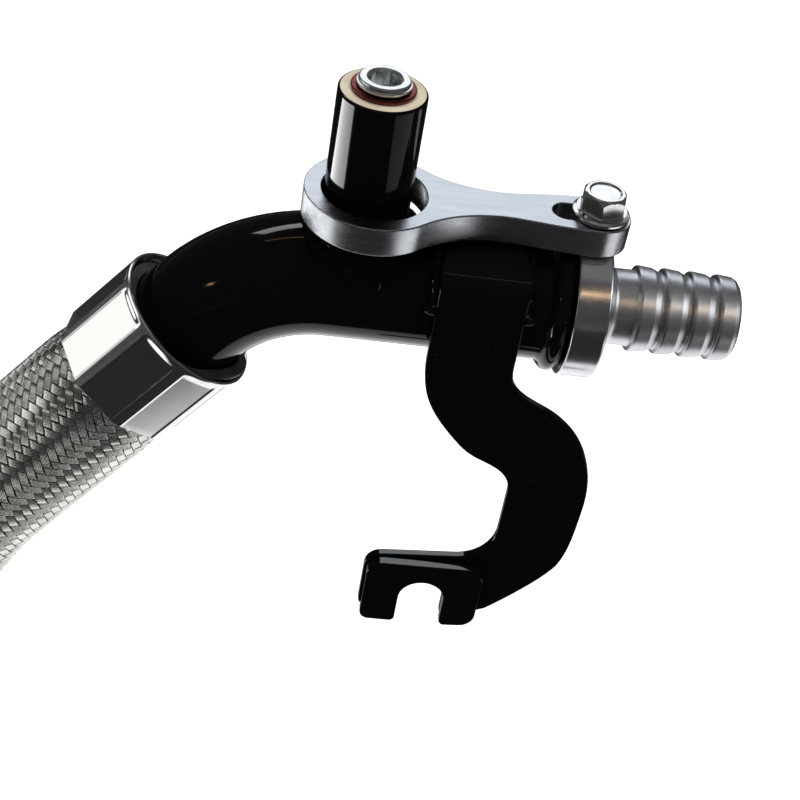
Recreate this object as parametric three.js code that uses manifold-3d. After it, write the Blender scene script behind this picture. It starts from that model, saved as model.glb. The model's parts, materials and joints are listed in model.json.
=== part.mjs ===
// End of a braided fluid line: a bent steel pipe with a crimped hose on one end and a barbed
// hose tail in the other, held together by a clamp plate round the pipe's port post.
// Millimetres. Inside the assembly X runs along the pipe, Z along the port post, and both
// cross at (0, 0, 0). The finished object is shifted so that its foot slot is at the origin.
import * as THREE from 'three';
import { mergeVertices } from 'three/addons/utils/BufferGeometryUtils.js';
import Module from 'manifold-3d';

const wasm = await Module();
wasm.setup();

// Clearances between pieces
const touchGap = 0.3;
const sealGap = 0.3;

// Pipe
const pipeRadius = 19.5;
const pipeWall = 1.5;
const bendAngle = 51.4;
const bendRadius = 50;
const bendStart = -7.7;
const straightAfterBend = 5.5;
const beadHeight = 3.1;
const beadRadius = pipeRadius + beadHeight;
const beadStart = 60;
const beadEnd = 66.6;
const pipeRidgeHeight = 0.9;

// Port post, its plug and washer
const postRadius = 13.4;
const postHeight = 47;
const postTop = pipeRadius + postHeight;
const postWeldLeg = 4.5;
const postWeldRadius = postRadius + postWeldLeg;
const plugShankRadius = 7;
const plugThreadGap = 0.4;
const postBore = plugShankRadius + plugThreadGap;
const plugShankLength = 13;
const plugHeadRadius = 8.3;
const plugHeadHeight = 2.3;
const plugSocketAcross = 10;
const plugSocketDepth = 8;
const washerRadius = 9.8;
const washerThickness = 1.2;

// Barbed adapter
const collarStart = beadEnd + touchGap;
const collarLength = 10.9;
const collarLip = 1;
const collarRadius = beadRadius + collarLip;
const spigotLength = 26;
const adapterBore = 9.8;
const neckRadius = 12.2;
const barbRadius = 13.85;
const barbRootRadius = 12.5;
const barbCount = 4;
const barbPitch = 8.62;
const firstBarb = 89.2;
const barbTipLength = 6.6;
const ringSection = 0.95;
const ringPositions = [46, 55];

// Clamp plate and bolt
const boltX = 71.5;
const boltRadius = 3.9;
const boltThreadGap = 0.3;
const boltHoleRadius = boltRadius + boltThreadGap;
const boltLength = 19.5;
const boltTipGap = 1;
const boltFlangeRadius = 8.95;
const boltHeadAcross = 13;
const boltHeadHeight = 8.2;
const plateThickness = 9.3;
const plateBoreGap = 2.8;
const plateBore = postRadius + plateBoreGap;
const plateRingWidth = 5.4;
const plateRingRadius = plateBore + plateRingWidth;
const plateRingX = 2;
const plateRingY = -1.45;
const plateEndRadius = 9.8;
const plateWaist = 14;
const slotClearance = 1.2;
const slotWidth = 2 * boltRadius + slotClearance;
const slotLength = 10.3;

// Bracket and foot
const bracketThickness = 3;
const bracketLeft = 24.3;
const bracketWidth = 27.6;
const tabLean = 75;
const tabReach = 16.5;
const tabCorner = 7;
const weldLeg = 2.6;
const footLeft = 16.6;
const footWidth = 41;
const footTop = -97;
const footBottom = -123.2;
const spacerThickness = 4.2;
const spacerTopDrop = 1.2;
const spacerBottomDrop = 1.4;
const footSlotX = 37.6;
const footSlotWidth = 15.6;
const footSlotTop = -105;

// Hose and its two crimped sleeves
const ferruleLength = 33;
const ferruleWall = 1.1;
const hoseWall = 4.4;
const hoseRadius = pipeRadius + hoseWall;
const ferruleRise = 1.5;
const ferruleRadius = hoseRadius + ferruleRise;
const hoseStraight = 60;
const hoseCurveRadius = 198;
const hoseDrop = 229;
const hoseSides = 12;
const hoseSteps = 34;
const linerBulge = 1.6;
const farTubeLength = 48;
const farBeadHeight = 2.1;
const farBeadRadius = pipeRadius + farBeadHeight;

// Flats round the circle of a pipe-sized body and of a small one
const roundSides = 28;
const smallSides = 20;

const radians = THREE.MathUtils.degToRad;

// ---------------------------------------------------------------- solids from surfaces

// Welds equal corners together and turns the closed surface into a solid, outside facing out.
function solidFrom(geometry) {
  const bare = new THREE.BufferGeometry();
  bare.setAttribute('position', geometry.getAttribute('position').clone());
  if (geometry.index) bare.setIndex(geometry.index.clone());
  const merged = mergeVertices(bare, 1e-4);
  const points = merged.getAttribute('position').array;
  const corners = merged.index.array;
  const kept = [];
  let volume = 0;
  const a = new THREE.Vector3();
  const b = new THREE.Vector3();
  const c = new THREE.Vector3();
  for (let i = 0; i < corners.length; i += 3) {
    const [p, q, r] = [corners[i], corners[i + 1], corners[i + 2]];
    if (p === q || q === r || r === p) continue;
    kept.push(p, q, r);
    a.fromArray(points, 3 * p);
    b.fromArray(points, 3 * q);
    c.fromArray(points, 3 * r);
    volume += a.dot(b.cross(c));
  }
  if (volume < 0) kept.reverse();
  const mesh = new wasm.Mesh({
    numProp: 3,
    vertProperties: new Float32Array(points),
    triVerts: new Uint32Array(kept),
  });
  return new wasm.Manifold(mesh);
}

function namedMesh(name, solid, color, roughness, metalness) {
  const body = solid.getMesh();
  const geometry = new THREE.BufferGeometry();
  const points = new Float32Array(3 * body.numVert);
  for (let i = 0; i < body.numVert; i += 1) {
    for (let k = 0; k < 3; k += 1) points[3 * i + k] = body.vertProperties[body.numProp * i + k];
  }
  geometry.setAttribute('position', new THREE.BufferAttribute(points, 3));
  geometry.setIndex(new THREE.BufferAttribute(new Uint32Array(body.triVerts), 1));
  geometry.computeVertexNormals();
  const material = new THREE.MeshStandardMaterial({ color, roughness, metalness });
  const mesh = new THREE.Mesh(geometry, material);
  mesh.name = name;
  return mesh;
}

// A body of revolution about Z. The outline is a list of [radius, height] pairs that either
// starts and ends on the axis or closes on itself.
function turned(outline, sides = roundSides) {
  const profile = outline.map(([radius, height]) => new THREE.Vector2(radius, height));
  const onAxis = outline[0][0] === 0 && outline[outline.length - 1][0] === 0;
  if (!onAxis) profile.push(profile[0].clone());
  const geometry = new THREE.LatheGeometry(profile, sides);
  geometry.rotateX(Math.PI / 2);
  return geometry;
}

// The same body of revolution laid along X, heights becoming X positions.
function turnedAlongX(outline, sides = roundSides) {
  const geometry = turned(outline, sides);
  geometry.rotateY(Math.PI / 2);
  return geometry;
}

function rod(radius, from, to, sides = roundSides) {
  return turned([[0, from], [radius, from], [radius, to], [0, to]], sides);
}

function rodAlongX(radius, from, to, sides = roundSides) {
  return turnedAlongX([[0, from], [radius, from], [radius, to], [0, to]], sides);
}

// A flat shape drawn in X and Y, given thickness upward from the height `bottom`.
function slab(shape, bottom, thickness, curveSegments = 10) {
  const settings = { depth: thickness, bevelEnabled: false, curveSegments };
  const geometry = new THREE.ExtrudeGeometry(shape, settings);
  geometry.translate(0, 0, bottom);
  return geometry;
}

// A flat shape drawn in X and Z, given thickness toward the front (-Y) from the plane `back`.
function uprightSlab(shape, back, thickness, curveSegments = 10) {
  const geometry = slab(shape, 0, thickness, curveSegments);
  geometry.rotateX(Math.PI / 2);
  geometry.translate(0, back, 0);
  return geometry;
}

// A flat shape drawn with its x toward the front (-Y) and its y upward, given thickness along X.
function sideSlab(shape, left, thickness, curveSegments = 8) {
  const geometry = slab(shape, 0, thickness, curveSegments);
  geometry.rotateX(Math.PI / 2);
  geometry.rotateZ(-Math.PI / 2);
  geometry.translate(left + thickness, 0, 0);
  return geometry;
}

function hexagonShape(across, turn = 0) {
  const shape = new THREE.Shape();
  for (let i = 0; i < 6; i += 1) {
    const angle = radians(60 * i + turn);
    const corner = across / Math.sqrt(3);
    const x = corner * Math.cos(angle);
    const y = corner * Math.sin(angle);
    if (i === 0) shape.moveTo(x, y);
    else shape.lineTo(x, y);
  }
  shape.closePath();
  return shape;
}

// ---------------------------------------------------------------- bent pipe

const pipeBore = pipeRadius - pipeWall;
const heading = new THREE.Vector3(-Math.cos(radians(bendAngle)), 0, -Math.sin(radians(bendAngle)));
const bendEnd = new THREE.Vector3(
  bendStart - bendRadius * Math.sin(radians(bendAngle)),
  0,
  -bendRadius * (1 - Math.cos(radians(bendAngle))),
);
const mouth = bendEnd.clone().addScaledVector(heading, straightAfterBend);

// Centre, direction of travel and radius at a distance past the start of the bend. Distances
// before it are measured back along the straight pipe.
function pipeStation(distance, radius) {
  const bendLength = bendRadius * radians(bendAngle);
  if (distance <= 0) return { x: bendStart - distance, z: 0, angle: 0, radius };
  const angle = Math.min(distance, bendLength) / bendRadius;
  const beyond = Math.max(0, distance - bendLength);
  return {
    x: bendStart - bendRadius * Math.sin(angle) - beyond * Math.cos(angle),
    z: -bendRadius * (1 - Math.cos(angle)) - beyond * Math.sin(angle),
    angle,
    radius,
  };
}

// A closed round bar through the stations, its centre line in the XZ plane.
function roundBar(stations, sides = roundSides) {
  const positions = [];
  for (const { x, z, angle, radius } of stations) {
    for (let i = 0; i < sides; i += 1) {
      const around = (2 * Math.PI * i) / sides;
      const across = radius * Math.cos(around);
      positions.push(
        x - across * Math.sin(angle),
        radius * Math.sin(around),
        z + across * Math.cos(angle),
      );
    }
  }
  const first = stations[0];
  const last = stations[stations.length - 1];
  positions.push(first.x, 0, first.z, last.x, 0, last.z);
  const faces = [];
  const rings = stations.length;
  for (let i = 0; i < sides; i += 1) {
    const next = (i + 1) % sides;
    for (let k = 0; k < rings - 1; k += 1) {
      const a = k * sides + i;
      const b = k * sides + next;
      faces.push(a, b, a + sides, b, b + sides, a + sides);
    }
    faces.push(rings * sides, next, i);
    faces.push(rings * sides + 1, (rings - 1) * sides + i, (rings - 1) * sides + next);
  }
  const geometry = new THREE.BufferGeometry();
  geometry.setAttribute('position', new THREE.Float32BufferAttribute(positions, 3));
  geometry.setIndex(faces);
  return geometry;
}

const bendLength = bendRadius * radians(bendAngle);
const mouthDistance = bendLength + straightAfterBend;
const pipeEndDistance = mouthDistance + ferruleLength - 0.6;

function bentStations(startX, endDistance, radius) {
  const list = [pipeStation(bendStart - startX, radius)];
  const bendPieces = 8;
  for (let i = 0; i <= bendPieces; i += 1) {
    list.push(pipeStation((bendLength * i) / bendPieces, radius));
  }
  list.push(pipeStation(endDistance, radius));
  return list;
}

function makePipe() {
  let solid = solidFrom(roundBar(bentStations(beadEnd, pipeEndDistance, pipeRadius)));
  const lift = beadRadius - pipeRadius;
  const bead = [[pipeBore + 0.4, beadStart], [pipeRadius, beadStart]];
  const half = (beadEnd - beadStart) / 2;
  const beadPieces = 6;
  for (let i = 1; i < beadPieces; i += 1) {
    const angle = (Math.PI * i) / beadPieces;
    bead.push([pipeRadius + lift * Math.sin(angle) ** 0.7, beadStart + half * (1 - Math.cos(angle))]);
  }
  bead.push([pipeRadius + 0.4, beadEnd], [pipeBore + 0.4, beadEnd]);
  solid = solid.add(solidFrom(turnedAlongX(bead)));
  for (const along of [12, 22]) {
    const from = pipeStation(mouthDistance + along, pipeRadius - 0.5);
    const crest = pipeStation(mouthDistance + along + 1, pipeRadius + pipeRidgeHeight);
    const to = pipeStation(mouthDistance + along + 5, pipeRadius - 0.5);
    solid = solid.add(solidFrom(roundBar([from, crest, to])));
  }
  const bore = bentStations(beadEnd + 1, pipeEndDistance + 1, pipeBore);
  solid = solid.subtract(solidFrom(roundBar(bore)));
  return solid.subtract(solidFrom(rod(postBore, 5, pipeRadius + 5)));
}

// ---------------------------------------------------------------- port post

const plateBottom = collarRadius + touchGap;
const plateTop = plateBottom + plateThickness;
const boltSeat = plateTop + touchGap;
const washerBottom = postTop + touchGap;
const plugSeat = washerBottom + washerThickness + touchGap;

function makePost() {
  const edge = 0.8;
  const outline = [
    [postBore, 0],
    [postRadius, 0],
    [postRadius, postTop - edge],
    [postRadius - edge, postTop],
    [postBore + edge, postTop],
    [postBore, postTop - edge],
  ];
  const saddle = rodAlongX(pipeRadius + touchGap, -40, 40);
  return solidFrom(turned(outline)).subtract(solidFrom(saddle));
}

function makePostWeld() {
  const inner = postRadius + touchGap;
  const top = plateBottom - touchGap;
  const outline = [
    [inner, 5],
    [postWeldRadius, 5],
    [postWeldRadius, top - 4],
    [postWeldRadius - 0.9, top - 1.6],
    [postWeldRadius - 2.4, top],
    [inner, top],
  ];
  const saddle = rodAlongX(pipeRadius + touchGap, -40, 40);
  return solidFrom(turned(outline)).subtract(solidFrom(saddle));
}

function makePlug() {
  const top = plugSeat + plugHeadHeight;
  const bottom = plugSeat - plugShankLength;
  const outline = [
    [0, bottom],
    [plugShankRadius - 1, bottom],
    [plugShankRadius, bottom + 1],
    [plugShankRadius, plugSeat],
    [plugHeadRadius, plugSeat],
    [plugHeadRadius, top - 0.6],
    [plugHeadRadius - 0.6, top],
    [0, top],
  ];
  const socket = slab(hexagonShape(plugSocketAcross, 12), top - plugSocketDepth, plugSocketDepth + 1);
  const leadIn = plugSocketAcross / 2 + 0.5;
  const chamfer = turned([
    [0, top - 1.2], [leadIn - 1.2, top - 1.2], [leadIn, top], [leadIn, top + 1], [0, top + 1],
  ]);
  return solidFrom(turned(outline)).subtract(solidFrom(socket)).subtract(solidFrom(chamfer));
}

function makeWasher() {
  const hole = plugShankRadius + touchGap;
  const top = washerBottom + washerThickness;
  const soft = 0.3;
  const outline = [
    [hole, washerBottom],
    [washerRadius - soft, washerBottom],
    [washerRadius, washerBottom + soft],
    [washerRadius, top - soft],
    [washerRadius - soft, top],
    [hole, top],
  ];
  return solidFrom(turned(outline));
}

// ---------------------------------------------------------------- barbed adapter

const barbEnd = firstBarb + (barbCount - 1) * barbPitch + barbTipLength;
const grooveWidth = 2 * ringSection + 2 * sealGap;
const ringMiddle = pipeBore - sealGap - ringSection;
const grooveRadius = ringMiddle - ringSection - sealGap;
const spigotRadius = pipeBore - sealGap;
const spigotStart = collarStart - spigotLength;

function makeAdapter() {
  const collarEnd = collarStart + collarLength;
  const outline = [
    [adapterBore, spigotStart], [spigotRadius - 1, spigotStart], [spigotRadius, spigotStart + 1.5],
  ];
  for (const x of ringPositions) {
    outline.push(
      [spigotRadius, x - grooveWidth / 2],
      [grooveRadius, x - grooveWidth / 2],
      [grooveRadius, x + grooveWidth / 2],
      [spigotRadius, x + grooveWidth / 2],
    );
  }
  outline.push(
    [spigotRadius, collarStart],
    [collarRadius - 0.6, collarStart],
    [collarRadius, collarStart + 0.6],
    [collarRadius, collarEnd - 0.6],
    [collarRadius - 0.6, collarEnd],
    [neckRadius + 4.4, collarEnd],
    [neckRadius, collarEnd + 3.2],
  );
  for (let i = 0; i < barbCount; i += 1) {
    const crest = firstBarb + i * barbPitch;
    outline.push([i === 0 ? neckRadius : barbRootRadius, crest - 0.9], [barbRadius, crest]);
  }
  outline.push([barbRootRadius + 0.3, barbEnd - 0.8], [barbRootRadius - 0.6, barbEnd]);
  outline.push([adapterBore, barbEnd]);
  const holeBottom = boltSeat - boltLength - boltTipGap;
  const hole = rod(boltHoleRadius, holeBottom, collarRadius + 2, smallSides);
  hole.translate(boltX, 0, 0);
  return solidFrom(turnedAlongX(outline)).subtract(solidFrom(hole));
}

function makeSealRing(x) {
  const outline = [];
  const points = 6;
  for (let i = 0; i < points; i += 1) {
    const angle = (2 * Math.PI * i) / points;
    outline.push([ringMiddle + ringSection * Math.cos(angle), x + ringSection * Math.sin(angle)]);
  }
  return solidFrom(turnedAlongX(outline, smallSides));
}

// ---------------------------------------------------------------- clamp plate and bolt

// The plate is drawn along its own centre line from the ring to the slotted end, then turned
// so that the line joins the ring centre to the bolt.
function makePlate() {
  const reach = Math.hypot(boltX - plateRingX, plateRingY);
  const swing = Math.atan2(-plateRingY, boltX - plateRingX);
  const waist = plateWaist / 2;
  const leave = radians(52);
  const outline = new THREE.Shape();
  outline.absarc(0, 0, plateRingRadius, leave, 2 * Math.PI - leave, false);
  outline.bezierCurveTo(
    plateRingRadius * Math.cos(leave) + 8,
    -plateRingRadius * Math.sin(leave) + 7,
    reach * 0.42,
    -waist - 0.4,
    reach * 0.56,
    -waist,
  );
  outline.bezierCurveTo(
    reach * 0.68,
    -waist,
    reach - plateEndRadius - 5,
    -plateEndRadius,
    reach,
    -plateEndRadius,
  );
  outline.absarc(reach, 0, plateEndRadius, -Math.PI / 2, Math.PI / 2, false);
  outline.bezierCurveTo(
    reach - plateEndRadius - 5,
    plateEndRadius,
    reach * 0.68,
    waist,
    reach * 0.56,
    waist,
  );
  outline.bezierCurveTo(
    reach * 0.42,
    waist + 0.4,
    plateRingRadius * Math.cos(leave) + 8,
    plateRingRadius * Math.sin(leave) - 7,
    plateRingRadius * Math.cos(leave),
    plateRingRadius * Math.sin(leave),
  );
  const bore = new THREE.Path();
  bore.absarc(0, 0, plateBore, 0, 2 * Math.PI, true);
  const slot = new THREE.Path();
  slot.absarc(reach, 0, slotWidth / 2, -Math.PI / 2, Math.PI / 2, false);
  slot.absarc(reach - slotLength, 0, slotWidth / 2, Math.PI / 2, (3 * Math.PI) / 2, false);
  outline.holes.push(bore, slot);
  const geometry = slab(outline, plateBottom, plateThickness, 10);
  geometry.rotateZ(swing);
  geometry.translate(plateRingX, plateRingY, 0);
  return solidFrom(geometry);
}

function makeBolt() {
  const seat = boltSeat;
  const top = seat + boltHeadHeight;
  const flange = [
    [0, seat],
    [boltFlangeRadius, seat],
    [boltFlangeRadius, seat + 1.1],
    [boltHeadAcross / 2, seat + 2.6],
    [0, seat + 2.6],
  ];
  const hexagon = slab(hexagonShape(boltHeadAcross, 20), seat + 1, boltHeadHeight - 1);
  const crown = turned([
    [0, seat],
    [boltHeadAcross, seat],
    [boltHeadAcross, top - 3.2],
    [boltHeadAcross / 2 - 0.2, top],
    [boltHeadAcross / 2 - 1.3, top],
    [boltHeadAcross / 2 - 1.7, top - 0.5],
    [0, top - 0.5],
  ]);
  const shank = turned([
    [0, seat - boltLength],
    [boltRadius - 0.8, seat - boltLength],
    [boltRadius, seat - boltLength + 0.8],
    [boltRadius, seat + 1],
    [0, seat + 1],
  ], smallSides);
  const head = solidFrom(hexagon).intersect(solidFrom(crown));
  return head.add(solidFrom(turned(flange))).add(solidFrom(shank)).translate([boltX, 0, 0]);
}

// ---------------------------------------------------------------- bracket

const bracketBack = -pipeRadius - touchGap;
const bracketRight = bracketLeft + bracketWidth;
const bracketFront = bracketBack - bracketThickness;

// The strip drops straight from the pipe, swings to the right, drops again and hooks back
// under itself to end in the slotted foot.
function bracketOutline() {
  const outline = new THREE.Shape();
  outline.moveTo(bracketLeft, 10);
  outline.lineTo(bracketLeft, -11);
  outline.bezierCurveTo(bracketLeft, -26, 28.5, -33, 38.6, -44);
  outline.bezierCurveTo(44.5, -50.5, 47.5, -50.2, 53, -53.4);
  outline.bezierCurveTo(57.8, -56.2, 59.2, -59.8, 59.2, -64);
  outline.lineTo(59.2, -80.5);
  outline.bezierCurveTo(59.2, -88.5, 54, -92.6, 46.5, -93.2);
  outline.lineTo(footLeft + 5, footTop);
  outline.lineTo(footLeft, footTop - 6);
  outline.lineTo(footLeft, footBottom + 4);
  outline.lineTo(footLeft + 3.5, footBottom);
  outline.lineTo(footSlotX - footSlotWidth / 2, footBottom);
  outline.lineTo(footSlotX - footSlotWidth / 2, footSlotTop - footSlotWidth / 2);
  outline.absarc(footSlotX, footSlotTop - footSlotWidth / 2, footSlotWidth / 2, Math.PI, 0, true);
  outline.lineTo(footSlotX + footSlotWidth / 2, footBottom);
  outline.lineTo(footLeft + footWidth - 4, footBottom + 4.5);
  outline.bezierCurveTo(67, -113.5, 78, -102.5, 82, -95);
  outline.bezierCurveTo(84.7, -88.5, 85.2, -81, 85.6, -66);
  outline.bezierCurveTo(85.8, -47.5, 78, -34.5, 65.5, -27.9);
  outline.bezierCurveTo(57, -23.6, bracketRight, -21.5, bracketRight, -12);
  outline.lineTo(bracketRight, 10);
  outline.closePath();
  return outline;
}

// The hook over the pipe: an upright leg, a bend, and a tab lying along a tangent to the pipe,
// with its free end rounded off in plan.
function makeTab() {
  const lean = radians(tabLean);
  const start = (pipeRadius + touchGap) * Math.tan(lean / 2);
  const near = -bracketBack;
  const reachBack = tabReach * Math.sin(lean);
  const reachUp = tabReach * Math.cos(lean);
  const shape = new THREE.Shape();
  shape.moveTo(near, 4);
  shape.lineTo(near, start);
  shape.lineTo(near - reachBack, start + reachUp);
  const upX = bracketThickness * Math.cos(lean);
  const upZ = bracketThickness * Math.sin(lean);
  shape.lineTo(near - reachBack + upX, start + reachUp + upZ);
  const cornerZ = start + bracketThickness * Math.tan(lean / 2);
  const round = 3.6;
  shape.lineTo(
    near + bracketThickness - round * Math.sin(lean),
    cornerZ + round * Math.cos(lean),
  );
  shape.quadraticCurveTo(near + bracketThickness, cornerZ, near + bracketThickness, cornerZ - round);
  shape.lineTo(near + bracketThickness, 4);
  shape.closePath();
  const side = sideSlab(shape, bracketLeft, bracketWidth);
  const frontEdge = bracketFront - 1;
  const backEdge = bracketBack + reachBack + 0.01;
  const plan = new THREE.Shape();
  plan.moveTo(bracketLeft - 0.01, frontEdge);
  plan.lineTo(bracketRight + 0.01, frontEdge);
  plan.lineTo(bracketRight + 0.01, bracketBack + 1);
  plan.bezierCurveTo(
    bracketRight, backEdge - 3, bracketRight - 2, backEdge, bracketRight - tabCorner, backEdge,
  );
  plan.lineTo(bracketLeft + tabCorner + 3, backEdge);
  plan.bezierCurveTo(
    bracketLeft + 3, backEdge, bracketLeft, bracketBack + 8, bracketLeft - 0.01, bracketBack + 1,
  );
  plan.closePath();
  return solidFrom(side).intersect(solidFrom(slab(plan, 0, 40, 8)));
}

function makeBracket() {
  const strip = solidFrom(uprightSlab(bracketOutline(), bracketBack, bracketThickness, 5));
  return strip.add(makeTab());
}

function makeFootSpacer() {
  const left = footLeft + 0.8;
  const right = footLeft + footWidth;
  const top = footTop - spacerTopDrop;
  const bottom = footBottom - spacerBottomDrop;
  const slotLeft = footSlotX - footSlotWidth / 2;
  const shape = new THREE.Shape();
  shape.moveTo(left, bottom + 3);
  shape.lineTo(left, top - 7);
  shape.quadraticCurveTo(left, top - 0.6, left + 6, top - 0.4);
  shape.lineTo(right - 5, top + 1.2);
  shape.quadraticCurveTo(right, top + 1, right, top - 5);
  shape.lineTo(right, bottom + 7);
  shape.quadraticCurveTo(right, bottom + 1.5, right - 5, bottom + 1);
  shape.lineTo(slotLeft + footSlotWidth, bottom);
  shape.lineTo(slotLeft + footSlotWidth, footSlotTop - footSlotWidth / 2);
  shape.absarc(footSlotX, footSlotTop - footSlotWidth / 2, footSlotWidth / 2, 0, Math.PI, false);
  shape.lineTo(slotLeft, bottom);
  shape.lineTo(left + 3, bottom);
  shape.closePath();
  return solidFrom(uprightSlab(shape, bracketFront - touchGap, spacerThickness, 8));
}

// A fillet of weld between the side of the bracket tab and the pipe, over part of a turn.
function makeBracketWeld(side) {
  const edge = side < 0 ? bracketLeft - touchGap : bracketRight + touchGap;
  const inner = pipeRadius + touchGap;
  const outline = [
    [inner, edge],
    [inner, edge + side * weldLeg],
    [inner + 0.9, edge + side * weldLeg * 0.6],
    [inner + weldLeg * 0.7, edge + side * 0.9],
    [inner + weldLeg, edge],
  ];
  const sector = new THREE.Shape();
  sector.moveTo(0, 0);
  sector.lineTo(40, 40 * Math.tan(radians(12)));
  sector.lineTo(40, 40);
  sector.lineTo(40 / Math.tan(radians(74)), 40);
  sector.closePath();
  return solidFrom(turnedAlongX(outline)).intersect(solidFrom(sideSlab(sector, 0, 80)));
}

// ---------------------------------------------------------------- hose

// Moves a body of revolution made about Z so that its axis starts at `start` and runs along `way`.
function lieAlong(geometry, start, way) {
  const turn = new THREE.Quaternion().setFromUnitVectors(new THREE.Vector3(0, 0, 1), way);
  geometry.applyQuaternion(turn);
  geometry.translate(start.x, start.y, start.z);
  return geometry;
}

function makeFerrule(start, way) {
  const inner = ferruleRadius - ferruleWall;
  const waist = 0.25;
  const outline = [
    [inner, 0],
    [ferruleRadius - 0.3, 0],
    [ferruleRadius, 0.5],
    [ferruleRadius, 3],
    [ferruleRadius - waist, 5],
    [ferruleRadius - waist, ferruleLength - 5],
    [ferruleRadius, ferruleLength - 3],
    [ferruleRadius, ferruleLength],
    [inner, ferruleLength],
  ];
  return solidFrom(lieAlong(turned(outline), start, way));
}

// The length of hose squeezed between the sleeve and the tube inside it.
function makeHoseEnd(start, way) {
  const outer = ferruleRadius - ferruleWall - touchGap;
  const inner = pipeRadius + touchGap;
  const wide = pipeRadius + pipeRidgeHeight + touchGap;
  const outline = [
    [inner, -linerBulge * 0.5],
    [inner + 1.2, -linerBulge],
    [outer - 1.4, -linerBulge],
    [outer, 0.6],
    [outer, ferruleLength],
    [wide, ferruleLength],
    [wide, 9],
    [inner, 8],
  ];
  return solidFrom(lieAlong(turned(outline), start, way));
}

// An arc in the XZ plane, swept from one heading to another.
class HangingArc extends THREE.Curve {
  constructor(centre, radius, from, to) {
    super();
    this.centre = centre;
    this.radius = radius;
    this.from = from;
    this.to = to;
  }

  getPoint(t, target = new THREE.Vector3()) {
    const angle = this.from + (this.to - this.from) * t;
    return target.set(
      this.centre.x - this.radius * Math.sin(angle),
      0,
      this.centre.z + this.radius * Math.cos(angle),
    );
  }
}

const hoseStart = mouth.clone().addScaledVector(heading, ferruleLength + touchGap);
const down = new THREE.Vector3(0, 0, -1);

function hosePath() {
  const path = new THREE.CurvePath();
  const curveStart = hoseStart.clone().addScaledVector(heading, hoseStraight);
  const from = radians(bendAngle);
  const centre = new THREE.Vector3(
    curveStart.x + hoseCurveRadius * Math.sin(from),
    0,
    curveStart.z - hoseCurveRadius * Math.cos(from),
  );
  const arc = new HangingArc(centre, hoseCurveRadius, from, Math.PI / 2);
  const curveEnd = arc.getPoint(1);
  const end = curveEnd.clone().addScaledVector(down, hoseDrop);
  path.add(new THREE.LineCurve3(hoseStart, curveStart));
  path.add(arc);
  path.add(new THREE.LineCurve3(curveEnd, end));
  return { path, end };
}

function makeHose(path) {
  const section = new THREE.Shape();
  for (let i = 0; i < hoseSides; i += 1) {
    const angle = (2 * Math.PI * i) / hoseSides;
    const x = hoseRadius * Math.cos(angle);
    const y = hoseRadius * Math.sin(angle);
    if (i === 0) section.moveTo(x, y);
    else section.lineTo(x, y);
  }
  section.closePath();
  const settings = { steps: hoseSteps, bevelEnabled: false, extrudePath: path };
  return solidFrom(new THREE.ExtrudeGeometry(section, settings));
}

// Steel stub at the far end: two grip ridges inside the hose, a bead near its open end.
function makeFarTube(start, way) {
  const end = ferruleLength + farTubeLength;
  const outline = [
    [pipeBore, 0.6],
    [pipeRadius, 0.6],
    [pipeRadius + pipeRidgeHeight, 8],
    [pipeRadius, 9],
    [pipeRadius + pipeRidgeHeight, 18],
    [pipeRadius, 19],
    [pipeRadius, end - 12],
    [farBeadRadius - 0.6, end - 11],
    [farBeadRadius, end - 10],
    [farBeadRadius - 0.6, end - 9],
    [pipeRadius, end - 8],
    [pipeRadius, end - 0.5],
    [pipeRadius - 0.5, end],
    [pipeBore, end],
  ];
  return solidFrom(lieAlong(turned(outline), start, way));
}

// ---------------------------------------------------------------- assembly

const assembly = new THREE.Group();
assembly.name = 'fluid_line_end';

const blackPaint = 0x0c0c0e;
const aluminium = 0xb9bec6;
const zinc = 0xd9dadc;
const steel = 0xc6c7ca;
const rubber = 0x18181a;

assembly.add(namedMesh('elbow_pipe', makePipe(), blackPaint, 0.25, 0.3));
assembly.add(namedMesh('port_post', makePost(), blackPaint, 0.25, 0.3));
assembly.add(namedMesh('port_weld', makePostWeld(), blackPaint, 0.3, 0.3));
assembly.add(namedMesh('port_plug', makePlug(), zinc, 0.3, 1));
assembly.add(namedMesh('plug_washer', makeWasher(), 0xb8654a, 0.35, 1));
assembly.add(namedMesh('barb_adapter', makeAdapter(), aluminium, 0.35, 1));
ringPositions.forEach((x, i) => {
  const name = i === 0 ? 'seal_ring_inner' : 'seal_ring_outer';
  assembly.add(namedMesh(name, makeSealRing(x), rubber, 0.7, 0));
});
assembly.add(namedMesh('clamp_plate', makePlate(), aluminium, 0.4, 1));
assembly.add(namedMesh('clamp_bolt', makeBolt(), zinc, 0.25, 1));
assembly.add(namedMesh('s_bracket', makeBracket(), blackPaint, 0.25, 0.3));
assembly.add(namedMesh('foot_spacer', makeFootSpacer(), blackPaint, 0.25, 0.3));
assembly.add(namedMesh('bracket_weld_left', makeBracketWeld(-1), blackPaint, 0.3, 0.3));
assembly.add(namedMesh('bracket_weld_right', makeBracketWeld(1), blackPaint, 0.3, 0.3));

assembly.add(namedMesh('ferrule_near', makeFerrule(mouth, heading), steel, 0.2, 1));
assembly.add(namedMesh('hose_end_near', makeHoseEnd(mouth, heading), rubber, 0.7, 0));
const { path: hoseLine, end: hoseFoot } = hosePath();
assembly.add(namedMesh('braided_hose', makeHose(hoseLine), 0x9a958c, 0.45, 0.9));
const farSleeve = hoseFoot.clone().addScaledVector(down, touchGap + ferruleLength);
const up = new THREE.Vector3(0, 0, 1);
assembly.add(namedMesh('ferrule_far', makeFerrule(farSleeve, up), steel, 0.2, 1));
assembly.add(namedMesh('hose_end_far', makeHoseEnd(farSleeve, up), rubber, 0.7, 0));
const farStart = hoseFoot.clone().addScaledVector(down, touchGap);
assembly.add(namedMesh('tube_far', makeFarTube(farStart, down), steel, 0.3, 1));

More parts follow.
